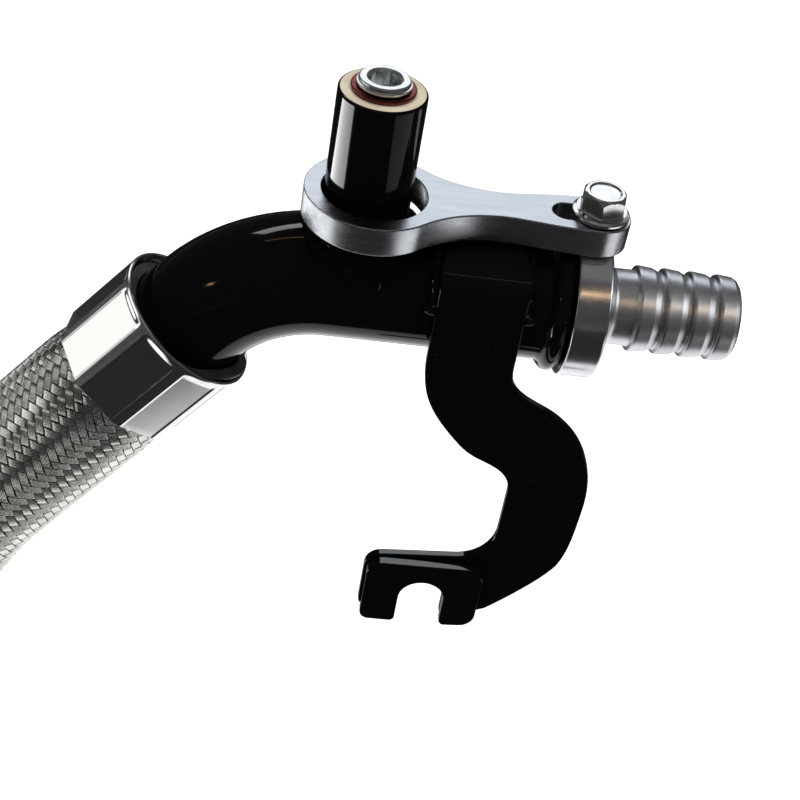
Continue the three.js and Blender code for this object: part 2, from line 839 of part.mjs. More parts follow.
// The origin is the middle of the foot slot on the face that is bolted down.
const footMiddle = (footSlotTop - footSlotWidth / 2 + footBottom) / 2;
assembly.position.set(-footSlotX, -bracketBack, -footMiddle);

const root = new THREE.Group();
root.name = 'fluid_line';
root.add(assembly);

export default root;
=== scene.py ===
import json

import bmesh
import bpy
import numpy as np
from mathutils import Matrix, Vector
from mathutils.geometry import delaunay_2d_cdt, tessellate_polygon

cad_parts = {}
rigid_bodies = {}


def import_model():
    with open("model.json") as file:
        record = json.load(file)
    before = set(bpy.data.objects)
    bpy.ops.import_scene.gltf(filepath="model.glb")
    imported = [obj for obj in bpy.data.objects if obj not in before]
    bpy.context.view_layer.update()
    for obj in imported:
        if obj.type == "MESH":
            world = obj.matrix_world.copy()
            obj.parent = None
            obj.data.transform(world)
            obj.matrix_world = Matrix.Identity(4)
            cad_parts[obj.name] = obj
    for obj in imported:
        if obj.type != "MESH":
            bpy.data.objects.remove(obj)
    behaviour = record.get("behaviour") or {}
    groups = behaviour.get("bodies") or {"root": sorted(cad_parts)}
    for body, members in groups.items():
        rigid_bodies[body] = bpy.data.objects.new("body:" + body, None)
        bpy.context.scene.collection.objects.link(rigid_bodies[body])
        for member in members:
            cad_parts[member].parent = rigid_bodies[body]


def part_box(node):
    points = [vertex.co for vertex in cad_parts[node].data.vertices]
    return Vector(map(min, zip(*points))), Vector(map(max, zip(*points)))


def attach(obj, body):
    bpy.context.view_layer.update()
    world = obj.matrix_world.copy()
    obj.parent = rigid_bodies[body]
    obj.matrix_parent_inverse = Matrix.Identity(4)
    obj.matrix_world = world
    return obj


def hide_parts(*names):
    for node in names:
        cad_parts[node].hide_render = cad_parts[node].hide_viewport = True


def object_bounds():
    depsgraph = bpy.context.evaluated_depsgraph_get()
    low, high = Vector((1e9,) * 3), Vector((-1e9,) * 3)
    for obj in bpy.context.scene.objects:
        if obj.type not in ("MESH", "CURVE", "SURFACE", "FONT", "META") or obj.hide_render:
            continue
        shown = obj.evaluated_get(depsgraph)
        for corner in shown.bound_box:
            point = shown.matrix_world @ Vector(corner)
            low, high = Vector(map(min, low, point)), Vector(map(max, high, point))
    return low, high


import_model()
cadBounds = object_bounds()
mm = 0.001
gap = 0.3     # mm of air between neighbours


def middle(node):
    # middle of a node's box, in metres
    low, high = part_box(node)
    return (np.array(low) + np.array(high)) / 2


# the pipe's axis and the post's axis cross at hub
hub = np.array([middle("port_post")[0], middle("port_post")[1], middle("barb_adapter")[2]])


def heightOf(node, top=True):
    # height of a node's top or bottom over the pipe's axis, in mm
    return (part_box(node)[1 if top else 0].z - hub[2]) / mm


def alongOf(node, far=True):
    # where a node ends along the pipe's axis, from the post's axis, in mm
    return (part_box(node)[1 if far else 0].x - hub[0]) / mm


def spanOf(node):
    # how tall a node is, in mm
    low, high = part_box(node)
    return (high.z - low.z) / mm


# the camera comes first; the hose was measured against its view
cameraLook = dict(
    place=(-0.07015, -0.41575, 0.42053),
    right=(0.98972, -0.00748, 0.14283),
    up=(-0.10615, 0.63089, 0.76858),
    lens=75.87,
)


def makeCamera():
    # back = right x up, and the three directions are the columns of the camera's turn
    camera = bpy.data.cameras.new("camera")
    camera.lens = cameraLook["lens"]
    camera.sensor_width = 36
    camera.clip_start = 0.01
    holder = bpy.data.objects.new("camera", camera)
    bpy.context.scene.collection.objects.link(holder)
    right = Vector(cameraLook["right"]).normalized()
    up = Vector(cameraLook["up"]).normalized()
    back = right.cross(up)
    turn = Matrix((right, up, back)).transposed().to_4x4()
    holder.matrix_world = Matrix.Translation(cameraLook["place"]) @ turn
    bpy.context.scene.camera = holder


makeCamera()
print("camera placed")


# making meshes from arrays, all sizes in mm round the hub
def newPiece(name, points, faces, uv=None, sharpAngle=32):
    # points and faces straight into a mesh, doubles merged, faces out, edges over the angle sharp
    mesh = bpy.data.meshes.new(name)
    mesh.from_pydata((points * mm + hub).tolist(), [], [f.tolist() for f in faces])
    if uv is not None:
        layer = mesh.uv_layers.new(name="UVMap")
        corner = np.empty(len(mesh.loops), np.int32)
        mesh.loops.foreach_get("vertex_index", corner)
        layer.data.foreach_set("uv", uv[corner].astype(np.float32).ravel())
    work = bmesh.new()
    work.from_mesh(mesh)
    bmesh.ops.remove_doubles(work, verts=work.verts, dist=1e-6)
    closed = all(len(e.link_faces) == 2 for e in work.edges)
    if closed and work.calc_volume(signed=True) < 0:
        bmesh.ops.reverse_faces(work, faces=work.faces)
    work.to_mesh(mesh)
    work.free()
    mesh.polygons.foreach_set("use_smooth", np.ones(len(mesh.polygons), bool))
    mesh.set_sharp_from_angle(angle=np.radians(sharpAngle))
    piece = bpy.data.objects.new(name, mesh)
    bpy.context.scene.collection.objects.link(piece)
    return piece


def gridFaces(rows, columns):
    # quads of a grid of rows by columns points, row after row
    r, c = np.meshgrid(np.arange(rows - 1), np.arange(columns - 1), indexing="ij")
    a = (r * columns + c).ravel()
    return np.stack([a, a + 1, a + columns + 1, a + columns], 1)


def gridPiece(name, grid, uv=None, sharpAngle=32):
    # a surface whose points are grid[row, column]
    rows, columns = grid.shape[:2]
    flatUv = None if uv is None else uv.reshape(-1, 2)
    return newPiece(name, grid.reshape(-1, 3), gridFaces(rows, columns), flatUv, sharpAngle)


def finish(piece, material, body, node):
    # gives a piece its material and its body, and hides the CAD node it stands for
    if material not in piece.data.materials[:]:
        piece.data.materials.append(material)
    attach(piece, body)
    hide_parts(node)
    return piece


def softCorners(corners, steps=5, closed=True):
    # a line through corners (x, y, rounding): each rounded corner becomes an arc that touches
    # both its sides, with one point just before and after it so that flats stay flat
    corners = np.array(corners, float)
    pts, soft = corners[:, :2], corners[:, 2]
    before, after = np.roll(pts, 1, 0) - pts, np.roll(pts, -1, 0) - pts
    reachA, reachB = np.linalg.norm(before, axis=1), np.linalg.norm(after, axis=1)
    with np.errstate(all="ignore"):
        before, after = before / reachA[:, None], after / reachB[:, None]
        half = np.arccos(np.clip((before * after).sum(1), -1, 1)) / 2
        cut = np.minimum(soft / np.tan(half), 0.45 * np.minimum(reachA, reachB))
        way = before + after
        way /= np.linalg.norm(way, axis=1)[:, None]
        centre = pts + way * (cut * np.tan(half) / np.sin(half))[:, None]
        start = pts + before * cut[:, None] - centre
        end = pts + after * cut[:, None] - centre
        t = np.linspace(0, 1, steps)[None, :, None]
        turn = (np.pi - 2 * half)[:, None, None]
        arc = np.sin((1 - t) * turn) * start[:, None] + np.sin(t * turn) * end[:, None]
        arc = centre[:, None] + arc / np.sin(turn)
    lead = pts + before * np.minimum(1.3 * cut, 0.48 * reachA)[:, None]
    trail = pts + after * np.minimum(1.3 * cut, 0.48 * reachB)[:, None]
    out = np.concatenate([lead[:, None], arc, trail[:, None]], 1)
    plain = (soft <= 0) | ~np.isfinite(arc).all(axis=(1, 2)) | (half > 1.5)
    if not closed:
        plain[[0, -1]] = True
    out[plain] = np.nan
    out[plain, 0] = pts[plain]
    out = out.reshape(-1, 2)
    return out[np.isfinite(out[:, 0])]


def turned(profile, sides, axis="z", closed=True, startTurn=0.0):
    # radius and height carried round an axis: (r cos u, r sin u, h), or (h, r cos u, r sin u)
    ring = np.concatenate([profile, profile[:1]]) if closed else profile
    u = np.linspace(0, 2 * np.pi, sides + 1) + startTurn
    r, h = ring[:, :1], ring[:, 1:]
    across, over = r * np.cos(u), r * np.sin(u)
    tall = h + 0 * u
    grid = np.stack([across, over, tall] if axis == "z" else [tall, across, over], -1)
    run = np.concatenate([[0], np.cumsum(np.linalg.norm(np.diff(ring, axis=0), axis=1))])
    uv = np.stack([0 * run[:, None] + (u - startTurn) / (2 * np.pi), run[:, None] + 0 * u], -1)
    return grid, uv


def lieAlong(grid, start, way):
    # a shape made round z, put at start: its z runs along way and its x to the upper side
    way = np.array(way) / np.linalg.norm(way)
    up = np.array([way[2], 0, -way[0]]) * (1 if way[0] <= 0 else -1)
    return start + grid[..., :1] * up + grid[..., 1:2] * np.array([0, 1, 0]) + grid[..., 2:] * way


def arcPoints(x, y, radius, start, end, steps):
    # (x + r cos a, y + r sin a) for angles in degrees
    a = np.radians(np.linspace(start, end, steps))
    return np.stack([x + radius * np.cos(a), y + radius * np.sin(a)], 1)


def bezierPoints(a, b, c, d, steps):
    # cubic Bezier: (1-t)^3 a + 3 (1-t)^2 t b + 3 (1-t) t^2 c + t^3 d, without its first point
    t = np.linspace(0, 1, steps + 1)[1:, None]
    a, b, c, d = (np.array(p, float) for p in (a, b, c, d))
    return (1 - t) ** 3 * a + 3 * (1 - t) ** 2 * t * b + 3 * (1 - t) * t**2 * c + t**3 * d


def curveChain(start, *curves):
    # cubic curves one after the other, each given by its two handles, its end and its steps
    points = []
    for handleA, handleB, end, steps in curves:
        points.append(bezierPoints(start, handleA, handleB, end, steps))
        start = end
    return np.concatenate(points)


def unrounded(points):
    # corners for softCorners that stay as they are
    return [(x, y, 0) for x, y in points]


def leftTurning(loop):
    # a closed line, turned round if its area (half the sum of x dy - y dx) is negative
    x, y = loop.T
    area = 0.5 * np.sum(x * np.roll(y, -1) - y * np.roll(x, -1))
    return loop if area > 0 else loop[::-1]


def insetLoop(loop, depth):
    # moves a closed line to its left: each corner goes along the mean of its two sides' normals
    ahead = np.roll(loop, -1, 0) - loop
    ahead /= np.linalg.norm(ahead, axis=1)[:, None]
    left = np.stack([-ahead[:, 1], ahead[:, 0]], 1)
    mean = left + np.roll(left, 1, 0)
    mean /= np.maximum((mean**2).sum(1), 1.0)[:, None] / 2
    return loop[None] + depth[:, None, None] * mean[None]


def slabPiece(name, loops, edge, place, bars=()):
    # a plate: an edge profile (inset, height) carried round each loop, then flat faces between
    # the first rows and between the last ones; place turns (x, y, height) into a point
    rows, faces, offset, firsts, lasts, flat = [], [], 0, [], [], []
    for loop in loops:
        n = len(loop)
        carried = insetLoop(loop, edge[:, 0])
        tall = np.broadcast_to(edge[:, 1][:, None, None], carried.shape[:2] + (1,))
        rows.append(np.concatenate([carried, tall], 2).reshape(-1, 3))
        quads = gridFaces(len(edge), n + 1)
        r, c = quads // (n + 1), quads % (n + 1) % n
        faces += list(offset + r * n + c)
        firsts.append(offset + np.arange(n))
        lasts.append(offset + (len(edge) - 1) * n + np.arange(n))
        flat.append(carried[0])
        offset += len(edge) * n
    firsts, lasts = np.concatenate(firsts), np.concatenate(lasts)
    if bars:
        # straight lines kept across the plate, so that it can be bent along them
        ring = [(i, (i + 1) % len(flat[0])) for i in range(len(flat[0]))]
        corners = [Vector(p) for p in flat[0]]
        cut = delaunay_2d_cdt(corners, ring + list(bars), [], 1, 1e-5)
        origin = [ids[0] for ids in cut[3]]
        triangles = np.array([[origin[i] for i in f] for f in cut[2]])
    else:
        triangles = np.array(tessellate_polygon([[Vector((*p, 0)) for p in f] for f in flat]))
    corner = np.concatenate(flat)[triangles]
    side, other = corner[:, 1] - corner[:, 0], corner[:, 2] - corner[:, 0]
    wrong = side[:, 0] * other[:, 1] - side[:, 1] * other[:, 0] < 0
    triangles[wrong] = triangles[wrong][:, ::-1]
    faces += list(firsts[triangles][:, ::-1]) + list(lasts[triangles])
    return newPiece(name, place(np.concatenate(rows)), faces)


def plateEdge(low, high, soft, steps=5):
    # from the lower face out round the edge to the upper one, with corners of radius soft
    inside = 1.6 * soft + 0.2
    corners = [(inside, low, 0), (0, low, soft), (0, high, soft), (inside, high, 0)]
    return softCorners(corners, steps, closed=False)


print("mesh helpers ready")


# shader groups shared by the materials
def socket(group, name, kind, inOut, value=None):
    # a named input or output of a group
    made = group.interface.new_socket(name=name, in_out=inOut, socket_type=kind)
    if value is not None:
        made.default_value = value


def newGroup(name, inputs, outputs):
    # an input without a value is a vector, all others are numbers
    group = bpy.data.node_groups.new(name, "ShaderNodeTree")
    for label, value in inputs.items():
        kind = "NodeSocketVector" if value is None else "NodeSocketFloat"
        socket(group, label, kind, "INPUT", value)
    for label in outputs:
        socket(group, label, "NodeSocketFloat", "OUTPUT")
    return group, group.nodes.new("NodeGroupInput"), group.nodes.new("NodeGroupOutput")


def addNode(tree, kind, **settings):
    # a node with its own settings
    node = tree.nodes.new(kind)
    for key, value in settings.items():
        setattr(node, key, value)
    return node


def feed(tree, source, target):
    tree.links.new(source, target)


def mathNode(tree, operation, a, b=None, clamp=False):
    # a and b are numbers or sockets
    node = addNode(tree, "ShaderNodeMath", operation=operation, use_clamp=clamp)
    for i, value in enumerate((a, b)):
        if value is None:
            continue
        if isinstance(value, (int, float)):
            node.inputs[i].default_value = value
        else:
            feed(tree, value, node.inputs[i])
    return node.outputs[0]


def rangeNode(tree, value, low, high, toLow=0.0, toHigh=1.0):
    # low..high carried over to toLow..toHigh and held there
    node = addNode(tree, "ShaderNodeMapRange")
    feed(tree, value, node.inputs["Value"])
    limits = {"From Min": low, "From Max": high, "To Min": toLow, "To Max": toHigh}
    for label, number in limits.items():
        node.inputs[label].default_value = number
    return node.outputs[0]


def makeGrainGroup():
    # fine scratches drawn out along one direction: the coordinates come in already stretched
    inputs = {"Vector": None, "Scale": 600.0, "Contrast": 1.0}
    group, start, end = newGroup("grain", inputs, ["Lines", "Patches"])
    fine = addNode(group, "ShaderNodeTexNoise")
    fine.inputs["Detail"].default_value = 3
    broad = addNode(group, "ShaderNodeTexNoise")
    broad.inputs["Detail"].default_value = 2
    feed(group, start.outputs["Vector"], fine.inputs["Vector"])
    feed(group, start.outputs["Vector"], broad.inputs["Vector"])
    feed(group, start.outputs["Scale"], fine.inputs["Scale"])
    feed(group, mathNode(group, "MULTIPLY", start.outputs["Scale"], 0.12), broad.inputs["Scale"])
    lines = mathNode(group, "SUBTRACT", fine.outputs[0], 0.5)
    lines = mathNode(group, "MULTIPLY", lines, start.outputs["Contrast"])
    feed(group, mathNode(group, "ADD", lines, 0.5, clamp=True), end.inputs["Lines"])
    feed(group, rangeNode(group, broad.outputs[0], 0.35, 0.65), end.inputs["Patches"])
    return group


def makeDustGroup():
    # small specks: dark cells of a voronoi pattern, thinned by a slow noise
    inputs = {"Vector": None, "Size": 900.0, "Amount": 0.3}
    group, start, end = newGroup("dust", inputs, ["Specks", "Haze"])
    cells = addNode(group, "ShaderNodeTexVoronoi")
    haze = addNode(group, "ShaderNodeTexNoise")
    haze.inputs["Detail"].default_value = 4
    feed(group, start.outputs["Vector"], cells.inputs["Vector"])
    feed(group, start.outputs["Vector"], haze.inputs["Vector"])
    feed(group, start.outputs["Size"], cells.inputs["Scale"])
    feed(group, mathNode(group, "MULTIPLY", start.outputs["Size"], 0.05), haze.inputs["Scale"])
    spot = rangeNode(group, cells.outputs["Distance"], 0.16, 0.05)
    patch = rangeNode(group, haze.outputs[0], 0.52, 0.7)
    specks = mathNode(group, "MULTIPLY", spot, patch)
    feed(group, mathNode(group, "MULTIPLY", specks, start.outputs["Amount"]), end.inputs["Specks"])
    cloudy = mathNode(group, "MULTIPLY", haze.outputs[0], start.outputs["Amount"])
    feed(group, cloudy, end.inputs["Haze"])
    return group


grainGroup = makeGrainGroup()
dustGroup = makeDustGroup()


class Surface:
    # one material with its Principled shader, ready for masks to be plugged in
    def __init__(self, name, color, roughness, metallic=0.0, **sockets):
        self.material = bpy.data.materials.new(name)
        self.material.use_nodes = True
        self.tree = self.material.node_tree
        self.shader = self.tree.nodes["Principled BSDF"]
        self.shader.inputs["Base Color"].default_value = (*color, 1)
        self.shader.inputs["Roughness"].default_value = roughness
        self.shader.inputs["Metallic"].default_value = metallic
        for label, value in sockets.items():
            self.shader.inputs[label.replace("_", " ")].default_value = value

    def coordinates(self, stretch=(1, 1, 1), kind="Object"):
        # where a point is, multiplied by stretch
        place = addNode(self.tree, "ShaderNodeTexCoord")
        mapping = addNode(self.tree, "ShaderNodeMapping")
        mapping.inputs["Scale"].default_value = stretch
        feed(self.tree, place.outputs[kind], mapping.inputs["Vector"])
        return mapping.outputs[0]

    def group(self, group, vector, **values):
        # a shared group with this material's own values
        node = addNode(self.tree, "ShaderNodeGroup", node_tree=group)
        feed(self.tree, vector, node.inputs["Vector"])
        for label, value in values.items():
            node.inputs[label].default_value = value
        return node.outputs

    def color(self, mask, low, high):
        # low where the mask is 0, high where it is 1
        ramp = addNode(self.tree, "ShaderNodeMix", data_type="RGBA")
        ramp.inputs["A"].default_value = (*low, 1)
        ramp.inputs["B"].default_value = (*high, 1)
        feed(self.tree, mask, ramp.inputs["Factor"])
        feed(self.tree, ramp.outputs["Result"], self.shader.inputs["Base Color"])

    def roughness(self, mask, low, high):
        value = rangeNode(self.tree, mask, 0, 1, low, high)
        feed(self.tree, value, self.shader.inputs["Roughness"])

    def bump(self, height, strength, distance):
        node = addNode(self.tree, "ShaderNodeBump")
        node.inputs["Strength"].default_value = strength
        node.inputs["Distance"].default_value = distance
        feed(self.tree, height, node.inputs["Height"])
        feed(self.tree, node.outputs[0], self.shader.inputs["Normal"])


def glossPaint():
    # deep black enamel with a clear coat, faint orange peel and a few specks of dust
    paint = Surface("glossPaint", (0.002, 0.002, 0.0025), 0.08, Specular_IOR_Level=0.07)
    where = paint.coordinates()
    dust = paint.group(dustGroup, where, Size=420, Amount=0.5)
    peel = paint.group(grainGroup, where, Scale=160, Contrast=0.6)
    paint.color(dust["Specks"], (0.0018, 0.0018, 0.0022), (0.05, 0.05, 0.05))
    paint.roughness(dust["Haze"], 0.05, 0.16)
    paint.bump(peel["Lines"], 0.04, 0.0003)
    return paint.material


def brushedAluminium(name, color, rough, stretch):
    # sawn and brushed plate: the grain is drawn out along the axis that is stretched least
    metal = Surface(name, color, rough, 1.0)
    lines = metal.group(grainGroup, metal.coordinates(stretch), Scale=700, Contrast=0.9)
    dark = tuple(0.9 * c for c in color)
    metal.color(lines["Lines"], dark, color)
    metal.roughness(lines["Patches"], rough - 0.02, rough + 0.03)
    metal.bump(lines["Lines"], 0.003, 0.0001)
    return metal.material


def turnedAluminium():
    # lathe marks run round the pipe's axis: the grain is stretched over all but x
    metal = Surface("turnedAluminium", (0.52, 0.53, 0.55), 0.22, 1.0)
    lines = metal.group(grainGroup, metal.coordinates((5, 0.4, 0.4)), Scale=420, Contrast=1.0)
    blotch = metal.group(grainGroup, metal.coordinates(), Scale=700, Contrast=1.0)
    metal.color(blotch["Patches"], (0.56, 0.57, 0.60), (0.68, 0.69, 0.72))
    # the hose tail, past the collar, is left rougher than the collar
    collarEnd, tailStart, tailRough = 0.0405, 0.0425, 0.13
    split = addNode(metal.tree, "ShaderNodeSeparateXYZ")
    feed(metal.tree, metal.coordinates(), split.inputs[0])
    tail = rangeNode(metal.tree, split.outputs["X"], collarEnd, tailStart, 0, tailRough)
    rough = rangeNode(metal.tree, lines["Lines"], 0, 1, 0.14, 0.30)
    feed(metal.tree, mathNode(metal.tree, "ADD", rough, tail), metal.shader.inputs["Roughness"])
    metal.bump(lines["Lines"], 0.035, 0.0001)
    return metal.material


def brightPlate(name, color, rough):
    # plated or polished metal with faint cloudy patches
    plate = Surface(name, color, rough, 1.0)
    blotch = plate.group(grainGroup, plate.coordinates(), Scale=900, Contrast=1.2)
    plate.color(blotch["Patches"], tuple(0.86 * c for c in color), color)
    plate.roughness(blotch["Lines"], rough - 0.1, rough + 0.1)
    plate.bump(blotch["Lines"], 0.03, 0.0001)
    return plate.material


def creamFace():
    # bare machined steel under a thin cream oxide, matte, with turning rings
    face = Surface("creamFace", (0.6, 0.54, 0.42), 0.5, 0.15)
    rings = face.group(grainGroup, face.coordinates(), Scale=800, Contrast=1.0)
    face.color(rings["Patches"], (0.36, 0.31, 0.225), (0.47, 0.42, 0.32))
    face.roughness(rings["Lines"], 0.4, 0.6)
    face.bump(rings["Lines"], 0.1, 0.0001)
    return face.material


def polishedSleeve():
    # rolled stainless sheet, polished, with faint drawing lines along the sleeve and small stains
    steel = Surface("polishedSleeve", (0.72, 0.72, 0.72), 0.12, 1.0)
    along = steel.group(grainGroup, steel.coordinates((60, 1, 1), "UV"), Scale=9, Contrast=1.0)
    dust = steel.group(dustGroup, steel.coordinates(), Size=350, Amount=1.0)
    steel.color(dust["Specks"], (0.74, 0.745, 0.74), (0.25, 0.25, 0.24))
    steel.roughness(along["Lines"], 0.07, 0.2)
    steel.bump(along["Lines"], 0.06, 0.0001)
    return steel.material


def blackRubber():
    # dull rubber with lighter scuffs
    rubber = Surface("blackRubber", (0.012, 0.012, 0.013), 0.5)
    marks = rubber.group(grainGroup, rubber.coordinates(), Scale=500, Contrast=1.0)
    rubber.color(marks["Patches"], (0.008, 0.008, 0.009), (0.025, 0.025, 0.024))
    rubber.roughness(marks["Lines"], 0.4, 0.65)
    rubber.bump(marks["Lines"], 0.3, 0.0003)
    return rubber.material


def wireBraid():
    # each band is a flat row of wires: u runs along the band in mm, v counts wires across it
    wire = Surface(
        "wireBraid", (0.6, 0.57, 0.52), 0.3, 1.0, Anisotropic=0.85, Anisotropic_Rotation=0.25
    )
    tangent = addNode(wire.tree, "ShaderNodeTangent", direction_type="UV_MAP", uv_map="UVMap")
    feed(wire.tree, tangent.outputs[0], wire.shader.inputs["Tangent"])
    place = addNode(wire.tree, "ShaderNodeTexCoord")
    split = addNode(wire.tree, "ShaderNodeSeparateXYZ")
    feed(wire.tree, place.outputs["UV"], split.inputs[0])
    across = mathNode(wire.tree, "FRACT", split.outputs["Y"])
    away = mathNode(wire.tree, "ABSOLUTE", mathNode(wire.tree, "SUBTRACT", across, 0.5))
    crown = mathNode(wire.tree, "SUBTRACT", 1.0, mathNode(wire.tree, "MULTIPLY", away, 2.0))
    soot = wire.group(grainGroup, wire.coordinates(), Scale=1100, Contrast=1.2)
    # the wire colour darkens towards each wire's edges: painted shade in the grooves between wires
    groove = rangeNode(wire.tree, crown, 0.0, 0.3)
    clean = rangeNode(wire.tree, soot["Patches"], 0, 1, 0.7, 1.0)
    shadedWireTone = mathNode(wire.tree, "MULTIPLY", groove, clean)
    wire.color(shadedWireTone, (0.11, 0.085, 0.065), (0.82, 0.80, 0.76))
    wire.roughness(soot["Lines"], 0.2, 0.34)
    wire.bump(crown, 0.35, 0.0002)
    return wire.material


def braidShade():
    # painted shade: the dark colour between and under the bands
    return Surface("braidShade", (0.02, 0.016, 0.014), 0.8).material


paintBlack = glossPaint()
plateMetal = brushedAluminium("plateMetal", (0.60, 0.62, 0.66), 0.27, (0.6, 4, 4))
adapterMetal = turnedAluminium()
zincMetal = brightPlate("zincMetal", (0.82, 0.82, 0.82), 0.16)
plugMetal = brightPlate("plugMetal", (0.9, 0.91, 0.91), 0.24)
faceMetal = creamFace()
washerMetal = brightPlate("washerMetal", (0.21, 0.05, 0.04), 0.3)
sleeveMetal = polishedSleeve()
tubeMetal = brightPlate("tubeMetal", (0.66, 0.66, 0.66), 0.22)
rubberBlack = blackRubber()
braidWire = wireBraid()
braidDark = braidShade()
print("materials made")

# bent pipe
pipe = dict(
    radius=19.5, wall=1.5, bendAngle=51.4, bendRadius=50, bendStart=-7.7, afterBend=5.5,
    beadRadius=22.6, beadStart=60.2, insideHose=32,
)
bend = np.radians(pipe["bendAngle"])
bendLength = pipe["bendRadius"] * bend
mouthAt = bendLength + pipe["afterBend"]
heading = np.array([-np.cos(bend), 0, -np.sin(bend)])


def pipeCentre(s):
    # centre line by distance s past the start of the bend: straight, an arc, straight again
    turn = np.clip(s, 0, bendLength) / pipe["bendRadius"]
    before = np.minimum(s, 0)
    beyond = np.maximum(s - bendLength, 0)
    x = pipe["bendStart"] - before - pipe["bendRadius"] * np.sin(turn) - beyond * np.cos(turn)
    z = -pipe["bendRadius"] * (1 - np.cos(turn)) - beyond * np.sin(turn)
    return np.stack([x, 0 * x, z], -1), turn


mouth = pipeCentre(np.array([mouthAt]))[0][0]


def alongPipe(profile, sides=160):
    # radius at distance s carried along the bent centre line: centre + r (cos u up + sin u y)
    s, r = profile[:, :1], profile[:, 1:]
    centre, turn = pipeCentre(s[:, 0])
    u = np.linspace(0, 2 * np.pi, sides + 1)
    up = np.stack([-np.sin(turn), 0 * turn, np.cos(turn)], -1)
    across = (r * np.cos(u))[..., None] * up[:, None]
    return centre[:, None] + across + (r * np.sin(u))[..., None] * np.array([0, 1, 0])


def makePipe():
    # outer radius over distance: the bead, its foot and the plain pipe, then the bore back again
    far = pipe["bendStart"] - alongOf("elbow_pipe")
    lift = pipe["beadRadius"] - pipe["radius"]
    width = alongOf("elbow_pipe") - pipe["beadStart"]
    t = np.linspace(0, 1, 30)
    # the bead swells as a power of a sine, blunter than a plain wave
    beadR = pipe["radius"] + lift * np.sin(np.pi * (0.04 + 0.92 * t)) ** 0.62
    beadS = far + width * t
    foot = np.array([[beadS[-1] + 0.5, pipe["radius"] + 0.25], [beadS[-1] + 1.2, pipe["radius"]]])
    rest = np.concatenate([
        np.linspace(foot[-1, 0] + 1, -1, 14), np.linspace(0, bendLength, 60),
        np.linspace(bendLength + 1, mouthAt + pipe["insideHose"], 10),
    ])
    straight = np.stack([rest, np.full(len(rest), pipe["radius"])], 1)
    outside = np.concatenate([np.stack([beadS, beadR], 1), foot, straight])
    bore = np.stack([outside[::-1, 0], np.full(len(outside), pipe["radius"] - pipe["wall"])], 1)
    ring = np.concatenate([outside, bore, outside[:1]])
    finish(gridPiece("bentPipe", alongPipe(ring)), paintBlack, "line", "elbow_pipe")


makePipe()
print("bent pipe done")

# braided hose, straight out of the sleeve and then hanging, and the sleeves that hold it
sleeve = dict(
    length=33, radius=25.4, wall=1.1, jaws=9, firstRidge=308, press=1.15, ridge=7.5, lip=2.6,
    swell=5.4, swellAt=3.55,
)
hose = dict(
    diameter=47.8, straight=60, curveRadius=198, drop=229, bands=30, pitch=3.7, lift=0.3,
    bandShare=0.89, wires=6, arch=0.22, grip=0.9, gripReach=7,
)
arcEnd = hose["straight"] + hose["curveRadius"] * (np.pi / 2 - bend)
hoseLength = arcEnd + hose["drop"]
hoseStart = mouth + heading * (sleeve["length"] + gap)


def hoseLine(s):
    # straight along the heading, then an arc whose turn grows as distance over its radius:
    # x = -R (sin turn - sin bend), z = R (cos turn - cos bend), then straight down
    onArc = np.maximum(s - hose["straight"], 0) / hose["curveRadius"]
    turn = np.minimum(bend + onArc, np.pi / 2)
    near = np.minimum(s, hose["straight"])[:, None] * heading
    below = np.maximum(s - arcEnd, 0)
    x = -hose["curveRadius"] * (np.sin(turn) - np.sin(bend))
    z = hose["curveRadius"] * (np.cos(turn) - np.cos(bend)) - below
    return hoseStart + near + np.stack([x, 0 * x, z], -1), turn


def onHose(s, u, r):
    # point at distance s, angle u and radius r round the route
    centre, turn = hoseLine(s.ravel())
    up = np.stack([-np.sin(turn), 0 * turn, np.cos(turn)], -1)
    u, r = u.ravel()[:, None], r.ravel()[:, None]
    out = centre + r * np.cos(u) * up + r * np.sin(u) * np.array([0, 1, 0])
    return out.reshape(*s.shape, 3)


